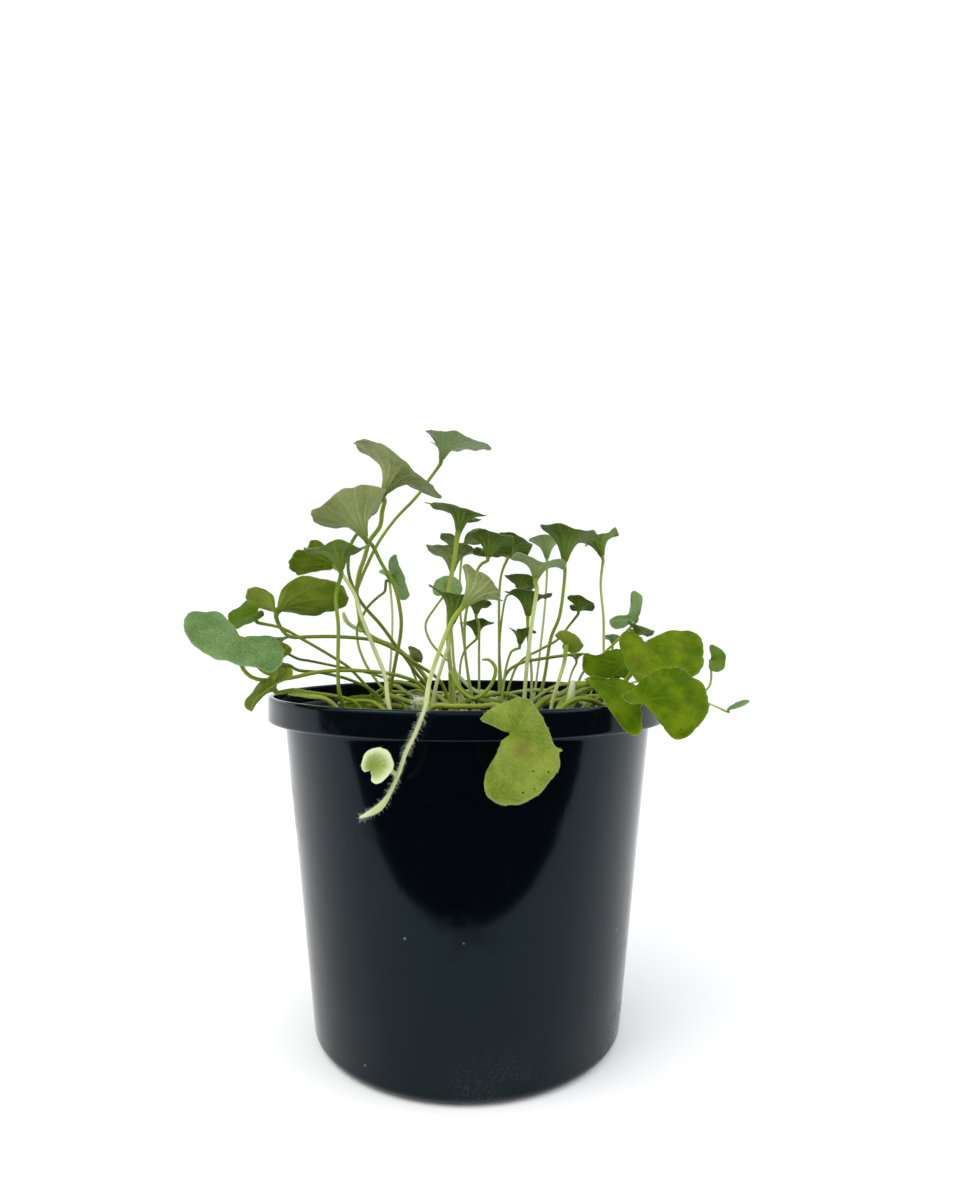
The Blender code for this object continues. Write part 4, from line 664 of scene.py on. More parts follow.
# How each leaf looks: its kind of skin, how pale it is for that kind (-1 to 1), how pale its stalk is
# (0 green to 1 cream), and how shaggy the stalk is (0 nearly bare to 1).
LOOKS = {
    "silver_left": ("silver", -0.6, 0.35, 0.2), "upright_mid": ("silver", 0.9, 0.35, 0.3),
    "low_left": ("fresh", -0.2, 0.3, 0.2), "shelf_left": ("grown", 0.4, 0.25, 0.1),
    "long_left": ("dull", -0.5, 0.25, 0.2), "tent_left": ("fresh", -1.4, 0.35, 0.1),
    "under_left": ("fresh", -0.3, 0.2, 0.1), "hidden_left": ("grown", -0.1, 0.2, 0.1),
    "tucked_left": ("fresh", 0.1, 0.4, 0.1), "tall_folded": ("olive", 0.25, 0.45, 0.75),
    "tall_fan": ("silver", 1.2, 0.35, 0.3), "second_stem": ("grown", 0.0, 0.15, 0.3),
    "left_branch": ("grown", 0.0, 0.5, 0.8), "broad_left": ("olive", 0.6, 0.25, 0.2),
    "pale_mid": ("silver", 0.9, 0.8, 0.3), "bud_mid": ("olive", 0.5, 0.5, 0.3),
    "pale_front": ("olive", -0.5, 0.6, 0.3), "curled_front": ("cream", 0.5, 0.9, 0.8),
    "trail": ("fresh", 0.0, 0.85, 1.0), "bright_left": ("fresh", -0.3, 0.85, 0.2),
    "dark_front": ("grown", -0.6, 0.75, 0.3), "top_centre": ("grown", 0.2, 0.55, 0.2),
    "hooked_stem": ("grown", 0.0, 0.4, 0.1), "back_centre": ("grown", 0.2, 0.55, 0.1),
    "blue_centre": ("silver", 1.2, 0.55, 0.2), "low_centre": ("grown", 0.0, 0.6, 0.1),
    "mid_centre": ("olive", -0.3, 0.6, 0.2), "broad_centre": ("grown", 0.0, 0.5, 0.1),
    "shaded_centre": ("grown", -0.1, 0.6, 0.1), "light_right": ("silver", 1.2, 0.85, 0.3),
    "dark_right": ("grown", -0.5, 0.7, 0.1), "long_right": ("grown", 0.0, 0.2, 0.1),
    "small_dark": ("grown", -0.2, 0.5, 0.1), "twin_front": ("grown", -0.1, 0.5, 0.1),
    "twin_shade": ("grown", 0.0, 0.5, 0.1), "pale_back": ("silver", 1.9, 0.7, 0.1),
    "bent_right": ("grown", 0.0, 0.3, 0.1), "wide_right": ("grown", 0.3, 0.45, 0.2),
    "tiny_right": ("silver", 0.2, 0.4, 0.1), "wing_right": ("grown", 0.9, 0.75, 0.2),
    "young_right": ("fresh", 2.2, 0.75, 0.3), "bud": ("silver", 0.5, 0.9, 1.0),
    "silver_back_right": ("silver", 1.6, 0.5, 0.3), "tiny_back_right": ("silver", 0.2, 0.5, 0.3),
    "fold_back_right": ("grown", -0.1, 0.4, 0.2), "square_right": ("fresh", -0.9, 0.45, 0.1),
    "heart_right": ("fresh", -0.25, 0.45, 0.1), "droop_right": ("fresh", -0.6, 0.5, 0.1),
    "front_right": ("fresh", -0.6, 0.45, 0.1), "round_far_right": ("grown", 0.8, 0.6, 0.3),
    "sprout_far_right": ("silver", 0.4, 0.7, 0.6), "hanging_front": ("dull", 0.1, 0.6, 0.2),
    "runner": ("grown", 0.0, 0.45, 0.5),
}

# The runners and stalks. Runners creep over the mix and root at their joints, and a stalk rises from
# each joint. They are round and juicy, widen into their blades, and the young ones are downy.
STALK_SIDES = 9
STALK_STEP = 1.6
STALK_FLARE = 1.5
FLARE_LENGTH = 2.2
GREEN_LENGTH = 4.5
NECK = 2.0
SPOUT = 1.7
SPOUT_REACH = 1.5
RUNNER_RADIUS = 0.9
ROOT_DEPTH = 5.0
ROOT_LIFT = 1.6
STALK_SINK = 0.35
RUNNER_END = 2.0
KNUCKLE_SWELL = 0.75
# Growing tips that swell to a bud: by how much, how far from the end, and how long the swelling is.
TIPS = {"trail": (0.85, 5.5, 3.4), "bud": (0.55, 5.0, 4.5), "left_branch": (0.4, 2.5, 2.0)}
KNUCKLE_LENGTH = 1.5
FINE_ROOTS = 5


def smooth_route(points, step):
    """Points on a smooth curve through the given ones, all of which it keeps."""
    ends = [points[0] * 2 - points[1], *points, points[-1] * 2 - points[-2]]
    route = [points[0]]
    for before, start, end, after in zip(ends, ends[1:], ends[2:], ends[3:]):
        pieces = max(1, round((end - start).length / step))
        for piece in range(1, pieces + 1):
            t = piece / pieces
            across = 2 * start + (end - before) * t + (2 * before - 5 * start + 4 * end - after) * t**2
            route.append((across + (3 * start - before - 3 * end + after) * t**3) / 2)
    return route


def is_rooted(leaf):
    """True where a stalk starts on the mix, and not on another stalk."""
    return abs(leaf.stem[0][2] - ROOT_LIFT - MIX_TOP) < 0.01


def blade_frame(leaf):
    """The blade's own three directions: its face's, its tip's and its side's."""
    face = Vector(leaf.face).normalized()
    tip = Vector(leaf.tip)
    tip = (tip - face * tip.dot(face)).normalized()
    return face, tip, face.cross(tip)


def spout(leaf):
    """How far the middle of a cupped blade is drawn down into its stalk."""
    return SPOUT * min(1, leaf.cup / 0.2) * min(1, leaf.width / 22)


def stalk_route(leaf):
    """A stalk's route, with a short neck that meets its blade from beneath."""
    route = [Vector(p) for p in leaf.stem]
    if is_rooted(leaf):
        route[0].z -= STALK_SINK
    if leaf.width:
        face = blade_frame(leaf)[0]
        end = route.pop() - face * spout(leaf)
        if (route[-1] - end).length < 1.6 * NECK and len(route) > 2:
            route.pop()
        route += [end - face * NECK, end - face * BLADE_THICKNESS * 0.6]
    return route


def runner_route(spray):
    """The runner that lies on the mix from root to root of a spray, and goes down into it at the first."""
    roots = [Vector(leaf.stem[0]) for leaf in spray if is_rooted(leaf)]
    start = roots[0] + Vector((0, 0, -ROOT_DEPTH - ROOT_LIFT))
    if len(roots) == 1:
        return [start, roots[0]]
    return [start, *roots, roots[-1] + (roots[-1] - roots[-2]).normalized() * RUNNER_END]


Growth = namedtuple("Growth", "points faces slots places tones")


def new_growth():
    return Growth([], [], [], [], [])


def add_points(growth, points, places, tones):
    """Adds points with where each lies on its blade or stalk, and how pale it is. Returns the first's number."""
    start = len(growth.points)
    growth.points.extend(points)
    growth.places.extend(places)
    growth.tones.extend(tones)
    return start


def draw_tube(growth, route, thickness, tone, sides=STALK_SIDES, slot=0):
    """A closed round tube along a route. thickness and tone are worked out from the length run so far."""
    rings, places, tones = [], [], []
    across, run = None, 0.0
    length = sum((b - a).length for a, b in zip(route, route[1:]))
    for number, point in enumerate(route):
        ahead = (route[min(number + 1, len(route) - 1)] - route[max(number - 1, 0)]).normalized()
        run += (point - route[number - 1]).length if number else 0.0
        across = ahead.orthogonal() if across is None else across
        across = (across - ahead * across.dot(ahead)).normalized()
        up = ahead.cross(across)
        radius = thickness(run, length)
        for side in range(sides):
            angle = math.tau * side / sides
            ridge = 1 + 0.05 * math.cos(3 * angle + run * 0.2)
            rings.append(point + (across * math.cos(angle) + up * math.sin(angle)) * radius * ridge)
            places.append((run, angle * radius, run / max(length, 0.01)))
            tones.append(tone(run, length))
    start = add_points(growth, rings, places, tones)
    for ring in range(len(route) - 1):
        for side in range(sides):
            low = start + ring * sides
            ahead = (side + 1) % sides
            growth.faces.append((low + side, low + ahead, low + sides + ahead, low + sides + side))
            growth.slots.append(slot)
    growth.faces.append(tuple(start + side for side in reversed(range(sides))))
    growth.faces.append(tuple(start + (len(route) - 1) * sides + side for side in range(sides)))
    growth.slots.extend((slot, slot))


def near_root(place, spots):
    """How close a place is to a rooting joint, from 0 to 1."""
    gap = min((place - spot).length for spot in spots)
    return math.exp(-((gap / KNUCKLE_LENGTH) ** 2))


def draw_stalk(growth, leaf):
    """A stalk, thicker at its foot and flared where it becomes the blade."""
    route = smooth_route(stalk_route(leaf), STALK_STEP)
    flare = STALK_FLARE - 1 if leaf.width else -0.5
    pale = LOOKS[leaf.name][2] + 0.14
    bulge, bulge_place, bulge_length = TIPS.get(leaf.name, (0, 0, 1))

    def thickness(run, length):
        foot = 0.22 * math.exp(-run / 5)
        swell = bulge * math.exp(-(((length - run - bulge_place) / bulge_length) ** 2))
        return leaf.radius * (0.95 + foot + swell + flare * math.exp(-(length - run) / FLARE_LENGTH))

    def tone(run, length):
        near_end = math.exp(-(length - run) / GREEN_LENGTH)
        end = -0.5 * pale if leaf.width else 0.9 * bulge
        return pale + 0.22 * math.exp(-run / 9) - 0.12 * run / length + end * near_end

    draw_tube(growth, route, thickness, tone)
    return route


def draw_runner(growth, name, spray):
    """The creeping runner of a spray, swollen at each rooting joint, with a few fine roots there."""
    spots = [Vector(leaf.stem[0]) for leaf in spray if is_rooted(leaf)]
    route = smooth_route(runner_route(spray), STALK_STEP)
    lookup = iter(route)

    def thickness(run, length):
        return RUNNER_RADIUS * (0.92 + KNUCKLE_SWELL * near_root(next(lookup), spots))

    draw_tube(growth, route, thickness, lambda run, length: LOOKS["runner"][2])
    for spot in spots:
        for _ in range(FINE_ROOTS):
            turned, reach = random.uniform(0, math.tau), random.uniform(1.5, 4.5)
            out = Vector((math.cos(turned), math.sin(turned), 0))
            foot = spot + out * reach
            foot.z = mix_height(foot.x, foot.y) - 0.6
            middle = spot.lerp(foot, 0.55) + Vector((0, 0, random.uniform(0.1, 0.7)))
            root = smooth_route([spot, middle, foot], 0.8)
            draw_tube(growth, root, lambda run, length: 0.2 - 0.1 * run / length, lambda run, length: 0.95, 5)
    return route


# Older runners that cross each other over the mix inside the rim, with no leaf of their own in sight:
# where each runs, and how thick and how pale it is.
OLD_RUNNERS = [
    ([(-31, 16, 112), (-28, 8, 118), (-16, -6, 116.5), (-6.5, -22, 112.5), (-3, -32, 106)], 0.75, 0.4),
    ([(-36, 2, 108), (-30, -2, 114.5), (-21, -8, 115.3), (-16, -10, 115.8), (-9, -16, 110)], 0.6, 0.35),
    ([(-8, -48, 108), (-3.5, -41, 113.2), (3, -28, 115), (12, -18, 115.6), (21, -11, 112)], 0.8, 0.42),
    ([(-3, -28, 119), (0.6, -34, 116.3), (5, -36, 114.8), (12, -38, 114.4), (24, -36, 112)], 0.85, 0.2),
    ([(17, -47, 108), (24, -38, 115), (30, -30, 116.1), (36, -22, 118.2), (43, -14, 119)], 0.9, 0.35),
    ([(23, -54, 107), (30, -44, 115.5), (35.5, -36, 117.7), (42, -28, 119.6)], 1.0, 0.45),
    ([(22, -56, 109), (31, -50, 115.7), (38, -46, 115.9), (45, -39, 112)], 0.8, 0.4),
    ([(18, -5, 108), (29, 0, 115.6), (36, 4, 117.5), (45, 7, 118)], 0.6, 0.6),
    ([(-28, -20, 116), (-19, -34, 114.6), (-13.6, -42, 114), (-6, -52, 110)], 0.75, 0.38),
    ([(-42, -27, 113), (-33, -36, 114.8), (-27, -42, 114), (-20, -49, 109)], 0.65, 0.5),
    ([(-38, 13, 112), (-28, 4, 116.8), (-21, -8, 114.9), (-11, -26, 112), (-7, -34, 106)], 0.7, 0.35),
    ([(-5, 17, 121), (1.4, 8, 115.4), (8, -2, 113), (17, -14, 110)], 0.7, 0.75),
    ([(-45, -5, 108), (-36, -14, 111), (-24, -18, 111.5), (-12, -14, 109)], 0.8, 0.4),
    ([(-18, 40, 108), (-4, 30, 112.5), (10, 33, 112), (24, 30, 108)], 0.7, 0.8),
    ([(8, 50, 107), (20, 38, 112), (34, 32, 112.5), (47, 20, 108)], 0.7, 0.7),
    ([(-40, 30, 107), (-26, 34, 111.5), (-12, 44, 111), (0, 52, 107)], 0.7, 0.7),
]


def stalk_skin():
    """Juicy skin from green through yellow-green to cream, streaked lengthways, with a waxy gloss."""
    finish, tree, shader = new_finish("stalk_skin")
    tone = add(tree, "Attribute", attribute_name="leaf_tone").outputs["Fac"]
    place = add(tree, "Attribute", attribute_name="leaf_place").outputs["Vector"]
    streak = add(tree, "Mapping", {"Vector": place, "Scale": (0.12, 3.0, 0)}).outputs[0]
    streaks = add(tree, "TexNoise", {"Vector": streak, "Scale": 1.0, "Detail": 3}).outputs[0]
    down = add(tree, "TexNoise", {"Vector": place, "Scale": 5.0, "Detail": 3}).outputs[0]
    ripe = calc(tree, "ADD", tone, calc(tree, "MULTIPLY", calc(tree, "SUBTRACT", streaks, 0.5), 0.45))
    colour = blend(tree, ramp(tree, ripe, 0.1, 0.5), (0.11, 0.18, 0.005), (0.3, 0.37, 0.03))
    colour = blend(tree, ramp(tree, ripe, 0.5, 0.95), colour, (0.6, 0.64, 0.3))
    colour = blend(tree, ramp(tree, ripe, 1.05, 1.5), colour, (0.78, 0.84, 0.62))
    colour = blend(tree, ramp(tree, down, 0.55, 0.75, 0.0, 0.2), colour, (0.6, 0.64, 0.45))
    bump = add(tree, "Bump", {"Height": streaks, "Strength": 0.25, "Distance": 0.0002}).outputs[0]
    set_shader(tree, shader, Base_Color=colour, Roughness=0.4, Normal=bump, Specular_Tint=(0.8, 1.0, 0.4, 1))
    let_light_through(tree, shader, colour, 0.3)
    return finish


def let_light_through(tree, shader, colour, share):
    """Mixes light from the far side into a thin or juicy skin."""
    through = add(tree, "BsdfTranslucent", {"Color": colour}).outputs[0]
    both = add(tree, "MixShader", {0: share, 1: shader.outputs[0], 2: through}).outputs[0]
    tree.links.new(both, tree.nodes["Material Output"].inputs["Surface"])


# The blades. Each is a thin kidney with radiating veins and a notch where its stalk joins, felted with
# silvery hair when it grows in light. Old shaded ones are smooth, thin and yellow-green.
BLADE_THICKNESS = 0.42
RIM_THICKNESS = 0.2
BLADE_SPOKES = 84
BLADE_SHARES = (0.06, 0.14, 0.24, 0.34, 0.44, 0.54, 0.64, 0.74, 0.83, 0.91, 0.97, 1.0)
VEIN_SPACING = math.radians(30)
VEIN_WIDTH = 0.55
QUILTING = 0.26
RIPPLE = 0.75
SCALLOP = 0.028
BLADE_SLOTS = {"silver": (1, 2), "grown": (3, 4), "olive": (3, 5), "fresh": (6, 7), "dull": (8, 7), "cream": (9, 9)}


def outline_point(leaf, across):
    """A point (along the tip, sideways) on a kidney-shaped edge. across runs from -1 to 1 round it."""
    angle = across * math.radians(leaf.lobe_angle)
    reach = 0.97 - 0.12 * math.cos(angle) - 0.05 * math.exp(-((angle / 0.3) ** 2))
    reach *= max((1 - abs(across) ** 8) ** 0.45, 0.1) * leaf.width / 2
    return reach * math.cos(angle), reach * math.sin(angle)


def fine_edge(leaf):
    """The blade's edge as many points of (along the tip, sideways), from one side of its notch to the other."""
    if not leaf.edge:
        spokes = [math.sin(math.pi / 2 * (2 * n / (BLADE_SPOKES - 1) - 1)) for n in range(BLADE_SPOKES)]
        return [scalloped(leaf, outline_point(leaf, across)) for across in spokes]
    curve = smooth_route([Vector((*p, 0)) for p in leaf.edge], 0.25)
    runs = [0.0]
    for a, b in zip(curve, curve[1:]):
        runs.append(runs[-1] + (b - a).length)
    edge, near = [], 0
    for n in range(BLADE_SPOKES):
        wanted = runs[-1] * n / (BLADE_SPOKES - 1)
        while near < len(runs) - 2 and runs[near + 1] < wanted:
            near += 1
        share = (wanted - runs[near]) / max(runs[near + 1] - runs[near], 1e-6)
        edge.append(scalloped(leaf, curve[near].lerp(curve[near + 1], min(share, 1.0))[:2]))
    return edge


def scalloped(leaf, edge_point):
    """An edge point moved in or out a little, as the edge of a soft leaf runs."""
    along, sideways = edge_point
    own = Vector((along, sideways, leaf.width * 3)) * (0.22 + 2.2 / leaf.width)
    reach = 1 - SCALLOP * abs(noise.noise(own)) * 2 + SCALLOP * 0.3
    return along * reach, sideways * reach


def vein_strength(along, sideways):
    """How strongly a main vein stands at a place on a blade, from 0 to 1."""
    reach, angle = math.hypot(along, sideways), math.atan2(sideways, along)
    swing = abs((angle / VEIN_SPACING + 0.5) % 1 - 0.5) * VEIN_SPACING
    return math.exp(-((reach * math.sin(swing) / VEIN_WIDTH) ** 2))


def blade_point(leaf, edge_point, share):
    """A point of a blade's upper face, from its stalk (share 0) to its edge (share 1)."""
    face, tip, side = blade_frame(leaf)
    half = leaf.width / 2
    along, sideways = edge_point[0] * share, edge_point[1] * share
    reach, angle = math.hypot(along, sideways), math.atan2(sideways, along)
    outside = max(0, reach - 0.9 * leaf.radius)
    rise = leaf.cup * leaf.width * (1 - math.exp(-outside / (0.24 * half)))
    rise -= spout(leaf) * math.exp(-outside / SPOUT_REACH)
    rise -= leaf.sag_tip * 1.5 * max(along, 0) ** 2 / half
    rise -= leaf.sag_side * 1.5 * sideways**2 / half
    rise += leaf.wave * leaf.width * share**2 * math.sin(3.3 * angle + leaf.width)
    rise += leaf.fold * (math.hypot(sideways, 1.0) - 1.0)
    rise -= QUILTING * vein_strength(along, sideways) * (1 - 0.75 * share) * min(1, leaf.width / 20)
    own = Vector((along, sideways, leaf.width * 7)) * (0.12 + 1.6 / leaf.width)
    rise += RIPPLE * share**3 * noise.noise(own) * min(1, leaf.width / 20) * 2
    rise += 0.3 * RIPPLE * share**2 * noise.noise(own * 2.3)
    return Vector(leaf.stem[-1]) + tip * along + side * sideways + face * rise


HAIR_WIDTH = 0.07


def keep_inside(point):
    """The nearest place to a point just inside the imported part's box."""
    low, high = cad_box
    return Vector([min(max(c, lo / MM + HAIR_WIDTH), hi / MM - HAIR_WIDTH) for c, lo, hi in zip(point, low, high)])


def grow_blade(growth, leaf):
    """A closed thin blade in two skins. Returns its upper skin's rim, the ring inside it, and its faces' way."""
    kind, tone = LOOKS[leaf.name][:2]
    edge = fine_edge(leaf)
    rings = len(BLADE_SHARES)
    upper, places = [blade_point(leaf, edge[0], 0)], [(0, 0, 0)]
    for edge_point in edge:
        for share in BLADE_SHARES:
            upper.append(keep_inside(blade_point(leaf, edge_point, share)))
            places.append((edge_point[0] * share, edge_point[1] * share, share))
    skin = []
    for spoke in range(len(edge) - 1):
        here, there = 1 + spoke * rings, 1 + (spoke + 1) * rings
        skin.append((0, here, there))
        for ring in range(rings - 1):
            skin.append((here + ring, here + ring + 1, there + ring + 1, there + ring))
    normals = [Vector((0, 0, 0)) for _ in upper]
    for face in skin:
        normal = (upper[face[1]] - upper[face[0]]).cross(upper[face[-1]] - upper[face[0]])
        for corner in face:
            normals[corner] += normal
    under = []
    for point, normal, (along, sideways, share) in zip(upper, normals, places):
        ridge = 0.16 * vein_strength(along, sideways) * (1 - share)
        thick = BLADE_THICKNESS + (RIM_THICKNESS - BLADE_THICKNESS) * share**3 + ridge
        under.append(keep_inside(point - normal.normalized() * thick))
    count = len(upper)
    start = add_points(growth, upper + under, places * 2, [tone] * count * 2)
    top_slot, low_slot = BLADE_SLOTS[kind]
    for face in skin:
        growth.faces.append(tuple(start + corner for corner in face))
        growth.faces.append(tuple(start + count + corner for corner in reversed(face)))
        growth.slots.extend((top_slot, low_slot))
    loop = list(range(rings + 1)) + [spoke * rings + rings for spoke in range(1, len(edge))]
    loop += [(len(edge) - 1) * rings + ring for ring in range(rings - 1, 0, -1)]
    for a, b in zip(loop, loop[1:] + loop[:1]):
        growth.faces.append((start + a, start + a + count, start + b + count, start + b))
        growth.slots.append(top_slot)
    return upper, normals, rings


def blade_skin(name, deep, pale, vein, felt, cover, glow, through, specks=0.0, veined=0.42, rim=(0.95, 0.55)):
    """A blade's skin: mottled green, radiating veins and a fine net, felt over it, and light through it."""
    finish, tree, shader = new_finish(name)
    place = add(tree, "Attribute", attribute_name="leaf_place").outputs["Vector"]
    tone = add(tree, "Attribute", attribute_name="leaf_tone").outputs["Fac"]
    along, sideways, share = add(tree, "SeparateXYZ", {0: place}).outputs
    flat = add(tree, "CombineXYZ", {0: along, 1: sideways, 2: tone}).outputs[0]
    wander = add(tree, "TexNoise", {"Vector": flat, "Scale": 0.35, "Detail": 2}).outputs[0]
    angle = calc(tree, "ADD", calc(tree, "ARCTAN2", sideways, along), calc(tree, "MULTIPLY", wander, 0.22))
    angle = calc(tree, "SUBTRACT", angle, 0.11)
    reach = add(tree, "VectorMath", {0: add(tree, "CombineXYZ", {0: along, 1: sideways}).outputs[0]},
                operation="LENGTH").outputs["Value"]
    main = calc(tree, "MULTIPLY", reach, calc(tree, "PINGPONG", angle, VEIN_SPACING / 2))
    fork = calc(tree, "MULTIPLY", reach, calc(tree, "PINGPONG", angle, VEIN_SPACING / 4))
    main = ramp(tree, main, 0.05, 0.4, 1, 0)
    fork = calc(tree, "MULTIPLY", ramp(tree, fork, 0.03, 0.28, 1, 0), ramp(tree, share, 0.35, 0.7))
    cells = add(tree, "TexVoronoi", {"Vector": flat, "Scale": 0.75}, feature="DISTANCE_TO_EDGE")
    net = ramp(tree, cells.outputs["Distance"], 0.0, 0.13, 1, 0)
    veins = calc(tree, "MAXIMUM", main, calc(tree, "MULTIPLY", fork, 0.6))
    veins = calc(tree, "MAXIMUM", veins, calc(tree, "MULTIPLY", net, 0.35))
    mottle = add(tree, "TexNoise", {"Vector": flat, "Scale": 0.12, "Detail": 7, "Roughness": 0.58}).outputs[0]
    fibres = add(tree, "TexNoise", {"Vector": flat, "Scale": 1.7, "Detail": 5, "Roughness": 0.75}).outputs[0]
    light = calc(tree, "ADD", calc(tree, "MULTIPLY", tone, 0.5), ramp(tree, mottle, 0.32, 0.68, 0.1, 0.9))
    colour = blend(tree, add(tree, "Clamp", {0: light}).outputs[0], deep, pale)
    colour = blend(tree, calc(tree, "MULTIPLY", veins, veined), colour, vein)
    coat = calc(tree, "MULTIPLY", ramp(tree, fibres, 0.4, 0.6), ramp(tree, mottle, 0.25, 0.6, cover * 0.5, cover))
    coat = calc(tree, "MAXIMUM", coat, ramp(tree, share, rim[0], 1.0, 0.0, rim[1]))
    colour = blend(tree, coat, colour, felt)
    throat = ramp(tree, reach, 0.6, 3.4, 0.75, 0)
    colour = blend(tree, throat, colour, blend(tree, 0.5, deep, (0.2, 0.29, 0.02)))
    spots = add(tree, "Attribute", attribute_name="leaf_spot").outputs["Fac"]
    colour = blend(tree, spots, colour, (0.17, 0.12, 0.04))
    if specks:
        dots = add(tree, "TexVoronoi", {"Vector": flat, "Scale": 0.42}).outputs["Distance"]
        dots = calc(tree, "MULTIPLY", ramp(tree, dots, 0.09, 0.15, specks, 0), ramp(tree, mottle, 0.5, 0.55))
        colour = blend(tree, dots, colour, (0.012, 0.011, 0.006))
    level = calc(tree, "SUBTRACT", calc(tree, "MULTIPLY", fibres, 0.2), calc(tree, "MULTIPLY", veins, 0.7))
    bump = add(tree, "Bump", {"Height": level, "Strength": 0.25, "Distance": 0.0002}).outputs[0]
    set_shader(tree, shader, Base_Color=colour, Roughness=0.55, Normal=bump, Sheen_Weight=0.12 * cover)
    set_shader(tree, shader, Specular_Tint=(*[min(1.0, part / pale[1]) for part in pale], 1))
    shader.inputs["Specular IOR Level"].default_value = 0.18
    shader.inputs["Sheen Roughness"].default_value = 0.5
    let_light_through(tree, shader, blend(tree, 0.55, colour, glow), through)
    return finish


# The down. Fine white hairs stand on the rims of the blades, lie on the silvery ones, and clothe the
# young stalks and the runner that trails over the pot's front.
RIM_HAIRS = 3.0
STALK_HAIRS = 1.5
SHAGGY_HAIRS = 20.0
FELT_HAIRS = 220


def draw_hair(points, faces, root, way, length):
    """One stiff hair, a needle with three sides."""
    root = keep_inside(root)
    across = way.orthogonal().normalized() * HAIR_WIDTH / 2
    up = way.cross(across).normalized() * HAIR_WIDTH / 2
    start = len(points)
    points += [root + across, root - across * 0.5 + up * 0.87, root - across * 0.5 - up * 0.87]
    points.append(keep_inside(root + way * length))
    faces += [(start, start + 1, start + 3), (start + 1, start + 2, start + 3)]
    faces += [(start + 2, start, start + 3), (start + 2, start + 1, start)]


def any_way():
    """A direction picked evenly from all round."""
    z, turned = random.uniform(-1, 1), random.uniform(0, math.tau)
    flat = math.sqrt(1 - z * z)
    return Vector((flat * math.cos(turned), flat * math.sin(turned), z))


def down_on_blade(points, faces, leaf, upper, normals, rings):
    """Hairs along a blade's rim, and lying on its face where it is silvery."""
    kind = LOOKS[leaf.name][0]
    spokes = (len(upper) - 1) // rings
    for spoke in range(spokes - 1):
        rim, ahead = upper[rings * (spoke + 1)], upper[rings * (spoke + 2)]
        inner = upper[rings * (spoke + 1) - 1]
        out = (rim - inner).normalized()
        hairs = (rim - ahead).length * RIM_HAIRS * (0.5 if kind == "fresh" else 1.0)
        for _ in range(int(hairs + random.random())):
            root = rim.lerp(ahead, random.random())
            way = (out + any_way() * 0.7).normalized()
            draw_hair(points, faces, root - out * 0.05, way, random.uniform(0.25, 0.6))
    if kind != "silver":
        return
    for _ in range(int(FELT_HAIRS * (leaf.width / 20) ** 2)):
        number = random.randrange(1, len(upper))
        normal = normals[number].normalized()
        way = (any_way() + normal * 0.6).normalized()
        draw_hair(points, faces, upper[number] + any_way() * 0.3 * min(1, leaf.width / 30), way, 0.35)


def down_on_stalk(points, faces, route, radius, shaggy):
    """Hairs all round a stalk."""
    for a, b in zip(route, route[1:]):
        ahead = (b - a).normalized()
        hairs = (b - a).length * (STALK_HAIRS + SHAGGY_HAIRS * shaggy**2)
        for _ in range(int(hairs + random.random())):
            out = any_way()
            out = (out - ahead * out.dot(ahead)).normalized()
            root = a.lerp(b, random.random()) + out * radius * 0.85
            way = (out + ahead * random.uniform(-0.2, 0.9) + any_way() * 0.3).normalized()
            draw_hair(points, faces, root, way, random.uniform(0.25, 0.5) + 1.6 * shaggy**2 * random.random())


def down_finish():
    """White silky hair that light comes through."""
    finish, tree, shader = new_finish("silky_down")
    place = add(tree, "TexCoord").outputs["Object"]
    shade = add(tree, "TexNoise", {"Vector": place, "Scale": 300}).outputs[0]
    colour = blend(tree, shade, (0.62, 0.68, 0.52), (0.84, 0.86, 0.78))
    set_shader(tree, shader, Base_Color=colour, Roughness=0.5)
    let_light_through(tree, shader, colour, 0.4)
    return finish


def finish_growth(name, growth, finishes):
    """One piece of the plant, with where its points lie on their leaf kept for its skins."""
    plant = make_piece(name, growth.points, growth.faces, finishes, growth.slots)
    places = plant.data.attributes.new("leaf_place", "FLOAT_VECTOR", "POINT")
    places.data.foreach_set("vector", [number for place in growth.places for number in place])
    tones = plant.data.attributes.new("leaf_tone", "FLOAT", "POINT")
    tones.data.foreach_set("value", growth.tones)
    plant.data.attributes.new("leaf_spot", "FLOAT", "POINT")
    plant.data.set_sharp_from_angle(angle=math.radians(60))
    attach(plant, "root")
    return plant


def finish_down(name, points, faces, down_skin):
    """The hairs of one piece of the plant."""
    hairs = make_piece(name, points, faces, [down_skin])
    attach(hairs, "root")


# Brown patches, as (along the tip, sideways, radius, strength) on the blades that have them.
BLEMISHES = {
    "hanging_front": [(4.6, -2.5, 2.2, 0.65), (5.2, -1.2, 1.2, 0.8), (-2.0, 3.0, 0.7, 0.5)],
    "heart_right": [(4.5, -8.0, 1.1, 0.8), (14.0, 4.0, 1.1, 0.55)],
    "front_right": [(8.0, 8.0, 0.5, 0.6)],
}


def spot_strength(name, place):
    """How brown a place on a blade is, from 0 to 1."""
    found = 0.0
    for along, sideways, radius, strength in BLEMISHES.get(name, ()):
        gap = math.hypot(place[0] - along, place[1] - sideways) / radius
        found = max(found, strength * math.exp(-gap * gap))
    return found


